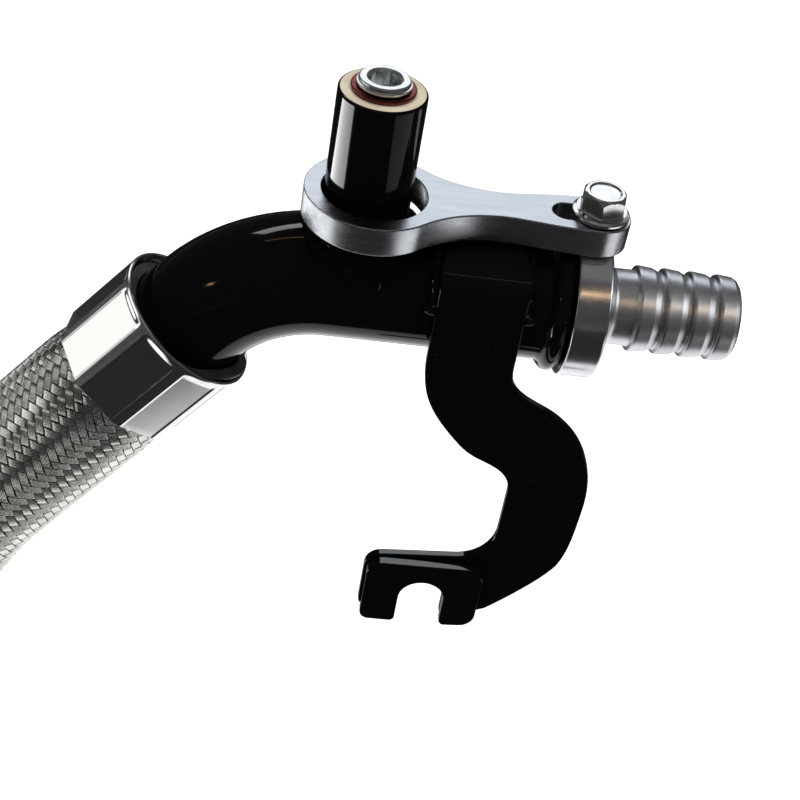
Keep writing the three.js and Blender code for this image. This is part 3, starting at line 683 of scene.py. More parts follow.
def makeHose():
    radius, bands = hose["diameter"] / 2, hose["bands"]
    cellAround = 2 * np.pi * radius / bands
    lean = cellAround / hose["pitch"]           # tangent of a band's angle from the axis
    # four rows of points for every band crossed: between it and the last one, near both its
    # edges and on its middle
    crossings = np.arange(-1, 2 * hoseLength / hose["pitch"] + 2)
    rows = (crossings[:, None] + np.array([-0.5, -0.34, 0, 0.34])).ravel()
    steps = len(rows)
    strand = np.arange(bands)
    acrossBand = np.array([-0.5, 0.5]) * hose["bandShare"]
    grip, reach = hose["grip"], hose["gripReach"]
    points, uvs, faces, offset = [], [], [], 0
    for sign in (1, -1):
        # n counts the bands of the other hand that band j has crossed; its height over the tube
        # is a clipped cosine of 2 j + n, over two and under two, and a row of equal n lies along
        # the band it crosses: distance = pitch (n - sign v) / 2
        j, n, v = np.meshgrid(strand, rows, acrossBand, indexing="ij")
        over = np.cos(2 * np.pi * (2 * j + sign * n - 0.5) / 4)
        wave = np.clip(4.2 * over, -1, 1) + hose["arch"] * over
        along = np.clip(hose["pitch"] * (n - sign * v) / 2, 0, hoseLength)
        bow = 1 / np.cos(np.pi * hose["bandShare"] / bands)   # a flat band's edges stand off
        # both sleeves squeeze the end of the hose, less and less over reach
        left = hoseLength - along
        squeeze = grip * (np.exp(-((along / reach) ** 2)) + np.exp(-((left / reach) ** 2)))
        r = (radius - 0.35 - squeeze + sign * hose["lift"] * wave) * bow
        u = 2 * np.pi * (j + v) / bands + sign * along * lean / radius
        points.append(onHose(along, u, r).reshape(-1, 3))
        uv = np.stack([along, (v / hose["bandShare"] + 0.5) * hose["wires"] + 0 * r], -1)
        uvs.append(uv.reshape(-1, 2))
        one = gridFaces(steps, 2)
        faces.append((one[None] + (strand * steps * 2)[:, None, None] + offset).reshape(-1, 4))
        offset += bands * steps * 2
    bandFaces = sum(len(f) for f in faces)
    # dark tube under the bands, its colour painted shade, closed at both ends
    ringS = np.concatenate([[0], np.linspace(0, hoseLength, 70), [hoseLength]])
    ringR = np.concatenate([[0], [radius - 1.9], np.full(68, radius - 1.0), [radius - 1.9], [0]])
    u = np.linspace(0, 2 * np.pi, 49)
    under = onHose(ringS[:, None] + 0 * u, u + 0 * ringS[:, None], ringR[:, None] + 0 * u)
    points.append(under.reshape(-1, 3))
    uvs.append(np.zeros((len(points[-1]), 2)))
    faces.append(gridFaces(len(ringS), 49) + offset)
    points, faces, uvs = (np.concatenate(part) for part in (points, faces, uvs))
    piece = newPiece("braidedHose", points, faces, uvs, 60)
    shade = (np.arange(len(piece.data.polygons)) >= bandFaces).astype(np.int32)
    piece.data.materials.append(braidWire)
    piece.data.materials.append(braidDark)
    piece.data.polygons.foreach_set("material_index", shade)
    return finish(piece, braidWire, "line", "braided_hose")


hosePiece = makeHose()
print("braided hose done,", len(hosePiece.data.polygons), "faces")


# crimped sleeves, and the rubber that shows at their mouths
def makeSleeve(name, start, way, node):
    # radius over (distance, angle): round at the lip, pressed into flats by the jaws further in,
    # flat = press radius over the cosine of the angle from the flat's middle, with a raised
    # rib left between two jaws
    long, radius, wall = sleeve["length"], sleeve["radius"], sleeve["wall"]
    pitch = 2 * np.pi / sleeve["jaws"]
    u = np.linspace(0, 2 * np.pi, sleeve["jaws"] * 40 + 1)
    away = (u - np.radians(sleeve["firstRidge"]) + pitch / 2) % pitch - pitch / 2
    fromFlat = pitch / 2 - np.abs(away)
    flat = (radius - sleeve["press"]) / np.cos(np.clip(fromFlat, 0, pitch / 2))
    half = np.radians(sleeve["ridge"]) / 2
    rib = np.clip((half * 1.25 - np.abs(away)) / (0.25 * half), 0, 1)
    pressed = np.minimum(flat, radius + 0.1) * (1 - rib) + (radius + 0.05) * rib
    s = np.concatenate([
        [0, 0.05, 0.3, 0.8], np.linspace(1.2, sleeve["lip"] + 2, 6),
        np.linspace(sleeve["lip"] + 3, long - 0.9, 12), [long - 0.4, long - 0.1, long],
    ])
    depth = np.clip((s - 0.9) / sleeve["lip"], 0, 1)
    depth = (depth**2 * (3 - 2 * depth))[:, None]
    outer = radius * (1 - depth) + pressed * depth
    # both ends of the sheet are rounded over
    over = np.clip((0.5 - np.minimum(s, long - s)) / 0.5, 0, 1)[:, None]
    outer = outer - 0.45 * over**2
    inner = (outer - wall + 0.9 * over**2)[::-1]
    grid = np.concatenate([outer, inner, outer[:1]])
    along = np.concatenate([s, s[::-1], s[:1]])[:, None] + 0 * u
    shape = np.stack([grid * np.cos(u), grid * np.sin(u), along], -1)
    uv = np.stack([u * radius + 0 * grid, along], -1)
    piece = gridPiece(name, lieAlong(shape, start, way), uv, 24)
    return finish(piece, sleeveMetal, "line", node)


def makeHoseEnd(name, start, way, node):
    # a turned ring between the pipe and the sleeve, swollen at its mouth
    outer, inner = sleeve["radius"] - sleeve["wall"] - 0.35, pipe["radius"] + 0.15
    corners = [
        (inner, 2.6, 0.8), (outer - 0.5, 2.2, 1.5), (outer - 0.1, 4.6, 1.2),
        (outer - 1.2, 7, 1), (outer - 1.2, sleeve["length"] - 0.2, 0.3),
        (inner, sleeve["length"] - 0.2, 0.3),
    ]
    grid, uv = turned(softCorners(corners, 6), 144)
    # the lip is squeezed out on one side: a bell curve of the angle, highest at swellAt
    u = np.linspace(0, 2 * np.pi, 145)
    swell = np.exp(-(((u - sleeve["swellAt"]) / 0.62) ** 2)) + 0.05 * np.sin(5 * u)
    share = np.clip(1.6 - grid[..., 2] / 4.5, 0, 1)
    grid[..., 2] -= sleeve["swell"] * share * swell
    grid[..., :2] *= 1 + 0.035 * (share * swell * (grid[..., 2] < -0.4))[..., None]
    piece = gridPiece(name, lieAlong(grid, start, way), uv, 50)
    return finish(piece, rubberBlack, "line", node)


makeSleeve("nearSleeve", mouth, heading, "ferrule_near")
makeHoseEnd("nearRubber", mouth, heading, "hose_end_near")
# the far sleeve's mouth is straight below the end of the hose
hoseFoot = hoseLine(np.array([hoseLength]))[0][0]
farMouth = hoseFoot + np.array([0, 0, -gap - sleeve["length"]])
farWay = np.array([0, 0, 1.0])
farSleeve = makeSleeve("farSleeve", farMouth, farWay, "ferrule_far")
farRubber = makeHoseEnd("farRubber", farMouth, farWay, "hose_end_far")


farStub = dict(beadUp=10, beadHeight=2.1, beadHalf=2.6, topGap=0.9, bottomGap=0.9)


def makeFarTube():
    # a turned stub in the far sleeve: a plain tube with one round bead
    radius, inside = pipe["radius"], pipe["radius"] - pipe["wall"]
    top = hoseFoot[2] - farStub["topGap"]
    bottom = hoseFoot[2] - farStub["bottomGap"] - spanOf("tube_far")
    bead, half = bottom + farStub["beadUp"], farStub["beadHalf"]
    corners = [
        (inside, top, 0.3), (radius, top, 0.4), (radius, bead + half, 1.2),
        (radius + farStub["beadHeight"], bead, 1.3), (radius, bead - half, 1.2),
        (radius, bottom, 0.5), (inside, bottom, 0.4),
    ]
    grid, uv = turned(softCorners(corners, 8), 128)
    grid[..., 0] += hoseFoot[0]
    return finish(gridPiece("farTube", grid, uv, 40), tubeMetal, "line", "tube_far")


farTube = makeFarTube()
print("sleeves and far end done")

# port post, the weld round it, its washer and its plug
post = dict(
    radius=13.4, bore=7.4, rim=0.7, face=12.7, weldRadius=19, weldLeg=4.6, weldBack=3.4,
    weldBulge=0.33,
)
plug = dict(
    head=8.3, shank=7, socketAcross=10, socketDepth=8, socketTurn=12, round=1.1, leadIn=5.5,
    washer=9.8,
)


def onPipe(radius, u, above=0.15):
    # height just above the pipe, at radius and angle u round the post: sqrt(R^2 - (r sin u)^2)
    return np.sqrt(np.maximum((pipe["radius"] + above) ** 2 - (radius * np.sin(u)) ** 2, 0))


def makePost():
    # a turned tube whose lower points are moved onto the pipe; its top and bore are bare metal
    top, foot = heightOf("port_post"), 16
    corners = [
        (post["bore"], foot, 0), (post["radius"], foot, 0), (post["radius"], top, post["rim"]),
        (post["bore"], top, 0.7),
    ]
    grid, uv = turned(softCorners(corners, 6), 144)
    u = np.linspace(0, 2 * np.pi, 145) + 0 * grid[..., 2]
    onSurface = onPipe(np.hypot(grid[..., 0], grid[..., 1]), u)
    grid[..., 2] = np.where(grid[..., 2] < foot + 1, onSurface, grid[..., 2])
    piece = gridPiece("portPost", grid, uv)
    centres = np.empty(3 * len(piece.data.polygons))
    piece.data.polygons.foreach_get("center", centres)
    local = (centres.reshape(-1, 3) - hub) / mm
    out = np.hypot(local[:, 0], local[:, 1])
    bare = (local[:, 2] > top - 0.15) & (out < post["face"]) | (out < post["bore"] + 0.9)
    piece.data.materials.append(paintBlack)
    piece.data.materials.append(faceMetal)
    piece.data.polygons.foreach_set("material_index", bare.astype(np.int32))
    finish(piece, paintBlack, "line", "port_post")


def makePostWeld():
    # a fillet: both its feet follow the pipe, one further out than the other; between them the
    # radius falls as a small power of (1 - t), and laid ripples run round the seam
    inner = post["radius"] + 0.1
    u = np.linspace(0, 2 * np.pi, 289)
    t = np.linspace(0, 1, 14)[:, None]
    ripple = 0.16 * np.sin(34 * u) + 0.22 * np.sin(3 * u + 1) + 0.12 * np.sin(7 * u)
    foot = onPipe(post["weldRadius"], u, 0.05)
    head = onPipe(inner, u, 0.05) + post["weldLeg"] + 0.3 * np.sin(5 * u)
    head = head + post["weldBack"] * np.clip(np.sin(u), 0, 1)
    reach = post["weldRadius"] - inner
    radius = inner + 0.05 + (reach + ripple) * (1 - t) ** post["weldBulge"]
    high = foot + (np.minimum(head, heightOf("port_weld") - 0.1) - foot) * t
    skin = np.stack([radius * np.cos(u), radius * np.sin(u), high], -1)
    under = np.stack([inner * np.cos(u), inner * np.sin(u), onPipe(inner, u, 0.05)], -1)
    grid = np.concatenate([skin, [under], skin[:1]])
    finish(gridPiece("postWeld", grid, None, 50), paintBlack, "line", "port_weld")


def hexRadius(u, across, turn, power):
    # a six-sided outline with softened corners: a / (sum of cos(u - side)^power)^(1/power)
    sides = np.radians(turn + 30 + 60 * np.arange(6))
    pull = np.maximum(np.cos(u[..., None] - sides), 0) ** power
    return across / 2 / pull.sum(-1) ** (1 / power)


def makeWasher():
    # a flat turned ring with rounded edges
    low, high = heightOf("plug_washer", False), heightOf("plug_washer")
    hole = plug["shank"] + 0.2
    corners = [
        (hole, low, 0.2), (plug["washer"], low, 0.55),
        (plug["washer"], high, 0.55), (hole, high, 0.2),
    ]
    grid, uv = turned(softCorners(corners, 6), 120)
    finish(gridPiece("plugWasher", grid, uv), washerMetal, "washer", "plug_washer")


def makePlug():
    # the outside is turned, from the shank's end up over the head and into the lead-in
    top, bottom = heightOf("port_plug"), heightOf("port_plug", False)
    seat = heightOf("plug_washer") + gap
    groove = seat + 0.42 * (top - seat)
    outside = softCorners([
        (0, bottom, 0), (plug["shank"], bottom, 1), (plug["shank"], seat, 0.2),
        (plug["head"], seat, 0.25), (plug["head"], groove, 0.2),
        (plug["head"] - 0.55, groove + 0.15, 0.15), (plug["head"] - 0.7, top, plug["round"]),
        (plug["leadIn"], top, 0.35), (plug["leadIn"] - 0.9, top - 0.8, 0),
    ], 6, closed=False)
    grid, _ = turned(outside, 240, closed=False, startTurn=np.radians(plug["socketTurn"]))
    u = np.linspace(0, 2 * np.pi, 241) + np.radians(plug["socketTurn"])
    r = hexRadius(u, plug["socketAcross"], plug["socketTurn"], 200)[None]
    # the socket: a six-sided wall straight down from the lead-in to a shallow cone
    depth = top - plug["socketDepth"]
    walls = np.concatenate([np.minimum(r, plug["leadIn"] - 0.35), r * 0.998, r * 0.996, 0 * r])
    tall = np.array([top - 0.75, top - 1.6, depth, depth - 1.2])[:, None] + 0 * u
    socketGrid = np.stack([walls * np.cos(u), walls * np.sin(u), tall], -1)
    piece = gridPiece("portPlug", np.concatenate([grid, socketGrid]))
    finish(piece, plugMetal, "plug", "port_plug")


makePost()
makePostWeld()
makeWasher()
makePlug()
print("port post and plug done")

# barbed adapter with its two seal rings; it is drilled for the bolt, whose sizes are here too
adapter = dict(
    bore=9.8, spigot=17.6, spigotStart=26, collar=23.6, collarLength=10.9, neck=12.2, cone=3.4,
    barb=13.85, barbRoot=12.4, crown=4.6, barbs=4, barbPitch=8.62, firstBarb=89.2, boltHole=4.2,
    ringsAt=(46, 55), grooveHalf=1.25, grooveDepth=2.3, ringRadius=0.95,
)
bolt = dict(x=71.5, radius=3.9, flange=8.95, across=13, turn=20, hollow=0.55)


def makeAdapter():
    # one turned profile, spigot, collar, neck and barbs, with the bolt's hole drilled across it
    start = alongOf("barb_adapter", False)
    end = alongOf("barb_adapter")
    collar = start + adapter["spigotStart"]
    collarEnd = collar + adapter["collarLength"]
    corners = [(adapter["bore"], start, 0.5), (adapter["spigot"], start, 1.4)]
    grooveFloor = adapter["spigot"] - adapter["grooveDepth"]
    for x in adapter["ringsAt"]:
        near, far = x - adapter["grooveHalf"], x + adapter["grooveHalf"]
        corners += [(adapter["spigot"], near, 0.2), (grooveFloor, near, 0.2)]
        corners += [(grooveFloor, far, 0.2), (adapter["spigot"], far, 0.2)]
    corners += [
        (adapter["spigot"], collar, 0.3), (adapter["collar"], collar, 0.7),
        (adapter["collar"], collarEnd, 0.9), (adapter["neck"] + 5.0, collarEnd, 0.8),
        (adapter["neck"], collarEnd + adapter["cone"], 2.2),
    ]
    for i in range(adapter["barbs"]):
        crest = adapter["firstBarb"] + i * adapter["barbPitch"]
        root = adapter["neck"] if i == 0 else adapter["barbRoot"]
        corners += [
            (root, crest - 0.9, 0.4), (adapter["barb"] - 0.15, crest - 0.4, 0.3),
            (adapter["barb"], crest + 0.4, 0.3),
            (adapter["barb"] - 0.4, crest + adapter["crown"], 0.4),
        ]
        if i < adapter["barbs"] - 1:
            corners.append((adapter["barbRoot"] - 0.1, crest + adapter["crown"] + 2.5, 0.4))
    corners += [
        (adapter["barbRoot"] + 0.4, end - 0.8, 0.6), (adapter["barbRoot"] - 0.7, end, 0.4),
        (adapter["bore"], end, 0.5),
    ]
    grid, uv = turned(softCorners(corners, 6), 160, axis="x")
    piece = gridPiece("barbAdapter", grid, uv, 35)
    # the hole runs up and out from the depth where the drill stopped
    hole, deep, out = adapter["boltHole"], 13.2, 26
    drill, _ = turned(np.array([(0, deep), (hole, deep), (hole, out), (0, out)]), 40, closed=False)
    drill[..., 0] += bolt["x"]
    tool = gridPiece("drill", drill)
    cut = piece.modifiers.new("hole", "BOOLEAN")
    cut.operation, cut.solver, cut.object = "DIFFERENCE", "EXACT", tool
    bpy.context.view_layer.objects.active = piece
    bpy.ops.object.modifier_apply(modifier="hole")
    bpy.data.objects.remove(tool)
    finish(piece, adapterMetal, "line", "barb_adapter")


def makeSealRings():
    # round sections carried round the spigot, each in the middle of its groove
    a = np.linspace(0, 2 * np.pi, 13)[:-1]
    thick = adapter["ringRadius"]
    middle = pipe["radius"] - pipe["wall"] - 1.25
    for place, x in zip(("Inner", "Outer"), adapter["ringsAt"]):
        section = np.stack([middle + thick * np.cos(a), x + thick * np.sin(a)], 1)
        grid, uv = turned(section, 96, axis="x")
        piece = gridPiece("sealRing" + place, grid, uv, 60)
        finish(piece, rubberBlack, "line", "seal_ring_" + place.lower())


makeAdapter()
makeSealRings()
print("adapter done")

# clamp plate and its bolt
plate = dict(
    ring=21.6, bore=16.2, ringX=2, ringY=-1.45, end=9.8, waist=7, leave=52, slotWidth=9,
    slotLength=10.3, soft=0.45,
)


def makePlate():
    # outline along the plate's own line: the ring, a waist that swings in, the round slotted end
    reach = np.hypot(bolt["x"] - plate["ringX"], plate["ringY"])
    swing = np.arctan2(-plate["ringY"], bolt["x"] - plate["ringX"])
    ring, end, waist = plate["ring"], plate["end"], plate["waist"]
    leave = np.radians(plate["leave"])
    cosL, sinL = ring * np.cos(leave), ring * np.sin(leave)
    around = arcPoints(0, 0, ring, plate["leave"], 360 - plate["leave"], 120)
    lower = curveChain(
        (cosL, -sinL),
        ((cosL + 8, -sinL + 7), (reach * 0.42, -waist - 0.4), (reach * 0.56, -waist), 24),
        ((reach * 0.68, -waist), (reach - end - 5, -end), (reach, -end), 24),
    )[:-1]
    tip = arcPoints(reach, 0, end, -90, 90, 50)
    upper = (lower * [1, -1])[::-1]
    outline = np.concatenate([around, lower, tip, upper])
    bore = arcPoints(0, 0, plate["bore"], 360, 0, 121)[:-1]
    slot = np.concatenate([
        arcPoints(reach, 0, plate["slotWidth"] / 2, 90, -90, 30),
        arcPoints(reach - plate["slotLength"], 0, plate["slotWidth"] / 2, 270, 90, 30),
    ])
    edge = plateEdge(heightOf("clamp_plate", False), heightOf("clamp_plate"), plate["soft"])

    def place(points):
        x, y, z = points.T
        along = plate["ringX"] + x * np.cos(swing) - y * np.sin(swing)
        across = plate["ringY"] + x * np.sin(swing) + y * np.cos(swing)
        return np.stack([along, across, z], 1)

    piece = slabPiece("clampPlate", [outline, bore, slot], edge, place)
    finish(piece, plateMetal, "clamp", "clamp_plate")


def makeBolt():
    # a turned shank and flange, then a head whose outline is hexRadius, row over row
    top, bottom = heightOf("clamp_bolt"), heightOf("clamp_bolt", False)
    seat = heightOf("clamp_plate") + gap
    half, flange, shank = bolt["across"] / 2, bolt["flange"], bolt["radius"]
    u = np.linspace(0, 2 * np.pi, 241) + np.radians(bolt["turn"])
    hexR = hexRadius(u, bolt["across"], bolt["turn"], 90)
    # from the shank's end: plain ridges for its thread, then the flange, all turned
    threads = np.arange(bottom + 1, seat - 4, 1.25)
    rise = np.repeat(threads, 2) + np.tile([0, 0.62], len(threads))
    ridges = np.stack([np.tile([shank - 0.6, shank], len(threads)), rise], 1)
    low = np.concatenate([
        [(0, bottom), (shank - 0.9, bottom)], ridges,
        [(shank, seat - 2.5), (shank, seat - 0.1), (shank + 0.2, seat)],
        softCorners([
            (shank + 0.3, seat, 0), (flange, seat, 0.35), (flange, seat + 1.15, 0.4),
            (flange - 2.1, seat + 1.95, 1.5), (half * 1.2, seat + 2.3, 0),
        ], 6, closed=False),
    ])
    lowGrid, _ = turned(low, 240, closed=False, startTurn=np.radians(bolt["turn"]))
    # the head: six-sided, its corners cut back by a cone, and a dished top inside a round rim
    cone = np.minimum(top - 0.25 - (hexR - half * 0.97) * 1.15, top - 0.3)
    rim, dish = half * 0.93, top - bolt["hollow"]
    rows = [
        (hexR + 0.5, seat + 2.32), (hexR + 0.12, seat + 2.5), (hexR, seat + 2.8),
        (hexR, cone - 0.3), (hexR - 0.02, cone),
        ((hexR + rim) / 2 + 0.05, (cone + top) / 2 + 0.02), (rim, top - 0.06),
        (rim - 0.3, top), (rim - 0.9, top - 0.02), (rim - 1.2, top - 0.3), (rim - 1.5, dish),
        (rim - 2.2, dish), (0, dish + 0.1),
    ]
    head = np.stack([np.stack([r * np.cos(u), r * np.sin(u), z + 0 * u], -1) for r, z in rows])
    grid = np.concatenate([lowGrid, head])
    grid[..., 0] += bolt["x"]
    finish(gridPiece("clampBolt", grid, None, 28), zincMetal, "bolt", "clamp_bolt")


makePlate()
makeBolt()
print("clamp plate and bolt done")

# bracket: a strip hooked over the pipe that swings round to a slotted foot
bracket = dict(
    thick=3, left=24.3, width=27.6, lean=75, reach=16.5, bendInside=2.2, soft=0.55, slotWidth=15.6,
    slotX=37.6, slotTop=-105, footLeft=16.6, footWidth=41, footTop=-97, footBottom=-123.2,
    spacer=4.2,
)
bracketBack = -pipe["radius"] - gap
lean = np.radians(bracket["lean"])
cornerAt = -bracketBack * np.tan(lean / 2)      # where the leg's back would meet the tab's
bendFrom = cornerAt - bracket["bendInside"] * np.tan(lean / 2)
middleRadius = bracket["bendInside"] + bracket["thick"] / 2
bendTo = bendFrom + middleRadius * lean


def bendOver(points):
    # a flat strip (x, length, depth from the back), bent round a line: over the bend the angle
    # is length over the middle radius, past it the strip runs straight on at the full lean
    x, run, depth = points.T
    angle = np.clip((run - bendFrom) / middleRadius, 0, lean)
    past = np.maximum(run - bendTo, 0)
    under = np.minimum(run - bendFrom, 0)
    radius = bracket["bendInside"] + depth
    y = bracketBack + bracket["bendInside"] - radius * np.cos(angle) + past * np.sin(lean)
    z = bendFrom + under + radius * np.sin(angle) + past * np.cos(lean)
    return np.stack([x, y, z], 1)


def makeBracket():
    # the flat strip's outline, down its left side and round the foot, then up the right side to
    # the tab's two shoulders; bars across the bend keep each row of points straight
    left, right = bracket["left"], bracket["left"] + bracket["width"]
    tabEnd = bendTo + bracket["reach"] - bracket["bendInside"] * np.tan(lean / 2)
    foot, slotR = bracket["footLeft"], bracket["slotWidth"] / 2
    slotX, slotY = bracket["slotX"], bracket["slotTop"] - slotR
    top, bottom = bracket["footTop"], bracket["footBottom"]
    rows = np.linspace(bendFrom - 0.5, bendTo + 0.5, 14)
    leftSide = np.stack([0 * rows + left, rows], 1)[::-1]
    rightSide = np.stack([0 * rows + right, rows], 1)
    start = rows[-1]
    corners = unrounded(leftSide) + unrounded([(left, 6), (left, 0), (left, -6), (left, -11)])
    corners += unrounded(curveChain(
        (left, -11), ((left, -26), (28.5, -33), (38.6, -44), 24),
        ((44.5, -50.5), (47.5, -50.2), (53, -53.4), 16),
        ((57.8, -56.2), (59.2, -59.8), (59.2, -64), 14),
    ))
    corners += unrounded([(59.2, -69), (59.2, -75)])
    corners += unrounded(curveChain(
        (59.2, -80.5), ((59.2, -88.5), (54, top + 2.4), (46.5, top + 1.9), 18),
    ))
    corners += [
        (38, top + 1.2, 0), (foot, top - 0.6, 6), (foot, bottom, 4), (slotX - slotR, bottom, 1.3),
    ]
    corners += unrounded(arcPoints(slotX, slotY, slotR, 180, 0, 40))
    corners += [(slotX + slotR, bottom, 1.3), (foot + bracket["footWidth"] - 4, bottom + 1, 3)]
    corners += unrounded(curveChain(
        (60, -119.8), ((67, -113.5), (78, -102.5), (82, -95), 18),
        ((84.7, -88.5), (85.2, -81), (85.6, -66), 18),
        ((85.8, -47.5), (78, -34.5), (65.5, -27.9), 24),
        ((57, -23.6), (right, -21.5), (right, -12), 18),
    ))
    corners += unrounded([(right, -6), (right, 0), (right, 6)]) + unrounded(rightSide)
    corners += unrounded(curveChain(
        (right, start), ((right, tabEnd - 3), (right - 2, tabEnd), (right - 7, tabEnd), 16),
    ))
    corners += unrounded(curveChain(
        (left + 10, tabEnd), ((left + 3, tabEnd), (left, start + 7), (left, start), 16),
    )[:-1])
    flat = leftTurning(softCorners(corners, 8)[::-1])
    edge = plateEdge(0, bracket["thick"], bracket["soft"])
    inner = insetLoop(flat, edge[:1, 0])[0]
    bars = []
    for row in rows:
        hits = np.where(np.abs(inner[:, 1] - row) < 1e-3)[0]
        if len(hits) == 2:
            bars.append(tuple(int(i) for i in hits))
    piece = slabPiece("sBracket", [flat], edge, bendOver, bars)
    finish(piece, paintBlack, "line", "s_bracket")


def makeFootSpacer():
    # a thicker pad in front of the foot, with the same slot
    left, right = bracket["footLeft"] + 0.8, bracket["footLeft"] + bracket["footWidth"]
    top, bottom = heightOf("foot_spacer"), heightOf("foot_spacer", False)
    slotR, slotX = bracket["slotWidth"] / 2, bracket["slotX"]
    slotY = bracket["slotTop"] - slotR
    corners = [
        (left, bottom, 3.2), (left, top - 0.6, 5.5), (right, top, 5.5), (right, bottom + 1, 5.5),
        (slotX + slotR, bottom, 1.9),
    ]
    corners += unrounded(arcPoints(slotX, slotY, slotR, 0, 180, 40))
    corners += [(slotX - slotR, bottom, 1.9)]
    flat = leftTurning(softCorners(corners, 8))
    front = bracketBack - bracket["thick"] - gap
    edge = plateEdge(0, bracket["spacer"], 0.9, 6)

    def place(points):
        x, z, depth = points.T
        return np.stack([x, front - depth, z], 1)

    piece = slabPiece("footSpacer", [flat], edge, place)
    finish(piece, paintBlack, "line", "foot_spacer")


def makeBracketWeld(side, node):
    # a bead along the tab's edge: a quarter round, (leg cos^0.8, 1.2 leg sin^0.8), carried round
    # the pipe; its leg fades at both ends, ripples like laid weld and has a lump near its start
    edge = bracket["left"] if side < 0 else bracket["left"] + bracket["width"]
    a = np.radians(np.linspace(8, 76, 90))[:, None]
    t = np.linspace(0, 1, 90)[:, None]
    fade = np.clip(np.sin(np.pi * t) * 4, 0, 1) ** 0.5
    ripple = 0.06 * np.sin(2 * np.pi * t * 9) + 0.12 * np.sin(2 * np.pi * t * 2.3 + 1)
    leg = 2.2 * fade * (1 + ripple + 0.75 * np.exp(-((t - 0.09) / 0.07) ** 2))
    v = np.linspace(0, 1, 14)[None]
    # outer curve from the pipe's surface up to the tab's edge, bulging out
    out = leg * np.cos(v * np.pi / 2) ** 0.8
    up = leg * np.sin(v * np.pi / 2) ** 0.8 * 1.2
    radius = pipe["radius"] + 0.05 + up
    x = edge + side * (0.12 + out)
    innerX, innerRadius = 0 * t + edge + side * 0.1, 0 * t + pipe["radius"] + 0.05
    radius = np.concatenate([radius, innerRadius, radius[:, :1]], 1)
    x = np.concatenate([x, innerX, x[:, :1]], 1)
    grid = np.stack([x, -radius * np.cos(a), radius * np.sin(a)], -1)
    caps = [ring.mean(1, keepdims=True) + 0 * ring for ring in (grid[:1], grid[-1:])]
    name = "bracketWeldLeft" if side < 0 else "bracketWeldRight"
    piece = gridPiece(name, np.concatenate([caps[0], grid, caps[1]]), None, 60)
    finish(piece, paintBlack, "line", node)


makeBracket()
makeFootSpacer()
makeBracketWeld(-1, "bracket_weld_left")
makeBracketWeld(1, "bracket_weld_right")
print("bracket done")

# floor and lights
studio = dict(floorTone=0.92, worldTone=0.07, skyTone=1.0, floorLight=5.0, cardTone=0.012)


def makeStudio():
    # the floor, and a world that is white to the camera and dim to everything else
    bpy.ops.mesh.primitive_plane_add(size=14, location=(0, 0, cadBounds[0][2] - 0.0015))
    floor = bpy.context.object
    floor.name = "floor"
    floor.data.materials.append(Surface("paleFloor", (studio["floorTone"],) * 3, 0.9).material)
    world = bpy.data.worlds.new("studio")
    bpy.context.scene.world = world
    world.use_nodes = True
    tree = world.node_tree
    back = tree.nodes["Background"]
    back.inputs["Color"].default_value = (1, 1, 1, 1)
    back.inputs["Strength"].default_value = studio["worldTone"]
    seen = addNode(tree, "ShaderNodeBackground")
    seen.inputs["Color"].default_value = (1, 1, 1, 1)
    seen.inputs["Strength"].default_value = studio["skyTone"]
    path, mix = addNode(tree, "ShaderNodeLightPath"), addNode(tree, "ShaderNodeMixShader")
    feed(tree, path.outputs["Is Camera Ray"], mix.inputs[0])
    feed(tree, back.outputs[0], mix.inputs[1])
    feed(tree, seen.outputs[0], mix.inputs[2])
    feed(tree, mix.outputs[0], tree.nodes["World Output"].inputs[0])


def addLamp(name, lamp, centre, target):
    # a lamp at centre that points at target
    holder = bpy.data.objects.new(name, lamp)
    holder.location = centre
    way = Vector(target) - Vector(centre)
    isUpright = abs(way.x) + abs(way.y) < 1e-6
    upOrDown = (np.pi, 0, 0) if way.z > 0 else (0, 0, 0)
    holder.rotation_euler = upOrDown if isUpright else way.to_track_quat("-Z", "Y").to_euler()
    holder.visible_camera = False
    bpy.context.scene.collection.objects.link(holder)
    return holder


def reflectedPanel(name, centre, target, size, radiance, color, pieces):
    # a flat lamp of that size in metres that only shows as a reflection, and only on those pieces
    lamp = bpy.data.lights.new(name, "AREA")
    lamp.shape = "RECTANGLE"
    lamp.size, lamp.size_y = size
    lamp.color = color
    lamp.energy = radiance * 4 * size[0] * size[1]
    holder = addLamp(name, lamp, centre, target)
    holder.visible_diffuse = False
    holder.light_linking.receiver_collection = pieces


def makeDarkCard():
    # a dark card on the floor that only mirrors show: bare metal keeps its dark side
    bpy.ops.mesh.primitive_plane_add(size=13, location=(0, 0, cadBounds[0][2] + 0.004))
    card = bpy.context.object
    card.name = "darkCard"
    card.data.materials.append(Surface("cardBlack", (studio["cardTone"],) * 3, 0.9).material)
    card.visible_camera = card.visible_diffuse = card.visible_shadow = False


def lightGroups():
    # sets of pieces that a panel can be kept to: all black paint, the painted pipework, the
    # bracket with its foot, everything that isn't painted, and the adapter
    groups = ("black", "pipework", "bracket", "bare", "adapter")
    sets = {name: bpy.data.collections.new(name) for name in groups}
    for piece in bpy.context.scene.collection.all_objects:
        if piece.type != "MESH":
            continue
        names = [m.name for m in piece.data.materials if m]
        onBracket = piece.name in ("sBracket", "footSpacer")
        isBlack = "glossPaint" in names
        for name, belongs in (
            ("black", isBlack), ("pipework", isBlack and not onBracket), ("bracket", onBracket),
            ("bare", not isBlack), ("adapter", "turnedAluminium" in names),
        ):
            if belongs:
                sets[name].objects.link(piece)
    return sets


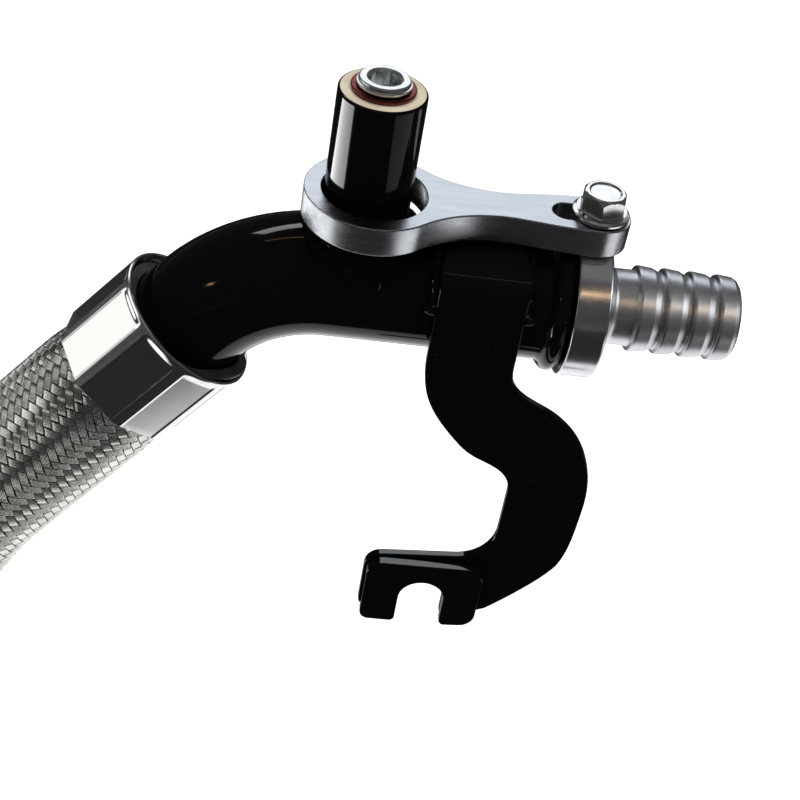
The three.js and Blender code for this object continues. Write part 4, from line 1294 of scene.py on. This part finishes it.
makeStudio()
makeDarkCard()
sets = lightGroups()
soft = bpy.data.lights.new("overhead", "SUN")
soft.energy = studio["floorLight"]
soft.angle = np.radians(80)
addLamp("overhead", soft, (0.2, 0.1, 2), (0, 0.1, 0)).visible_glossy = False
low = cadBounds[0][2] + 0.01
white, cool = (1, 1, 1), (0.9, 0.95, 1.0)
warm, amber, cream = (1.0, 0.62, 0.3), (1.0, 0.66, 0.36), (1, 1, 0.97)
# panels on the floor that face up: place, size, glow and the pieces they show on
for name, centre, size, glow, only in (
    ("underPipe", (0.05, 0.13), (1.0, 0.56), 1.7, "pipework"),
    ("underBracket", (-0.05, 0.45), (0.9, 0.9), 0.35, "bracket"),
    ("underBare", (0.05, 0.13), (1.0, 0.56), 0.95, "bare"),
    ("leftBlack", (-1.0, 0.12), (0.5, 0.84), 22.0, "black"),
    ("leftBare", (-0.85, 0.3), (0.8, 1.3), 1.3, "bare"),
    ("rightBlack", (0.98, -0.15), (0.8, 1.4), 1.5, "black"),
    ("rightBare", (0.86, -0.38), (0.62, 0.96), 0.9, "bare"),
):
    reflectedPanel(name, (*centre, low), (*centre, 1), size, glow, white, sets[only])
# panels round the object: place, what they face, size, glow, colour and pieces
for name, centre, target, size, glow, color, only in (
    ("back", (0, 1.5, 1.15), (0, 0, 0.05), (2.4, 0.8), 1.05, cool, "bare"),
    ("backBracket", (0.08, 1.15, 1.13), (0, 0, 0.02), (1.1, 0.5), 12.0, cool, "bracket"),
    ("leftWall", (-1.4, 0.1, 0.3), (0, 0.1, 0.15), (1.0, 0.7), 0.98, cream, "bare"),
    ("rightFront", (1.05, -0.4, 0.85), (0.05, 0, 0.12), (0.9, 0.8), 1.5, white, "adapter"),
    ("above", (0, 0, 1.6), (0, 0, 0.1), (1.2, 1.0), 0.1, white, "bare"),
    ("elbowBox", (-0.45, 0.88, 1.16), (-0.05, 0, 0.13), (0.62, 0.24), 14.0, white, "pipework"),
    ("warmStrip", (0.1, 0.28, 1.3), (0.1, 0, 0.1), (1.6, 0.02), 14.0, warm, "black"),
    ("warmLamp", (-0.96, -0.66, 0.61), (-0.08, 0, 0.12), (0.08, 0.03), 60.0, warm, "pipework"),
    ("warmBar", (0.27, -0.78, 1.01), (0.04, 0, 0.13), (1.4, 0.05), 3.4, amber, "adapter"),
):
    reflectedPanel(name, centre, target, size, glow, color, sets[only])
bpy.context.scene.view_settings.view_transform = "Standard"
print("studio done")
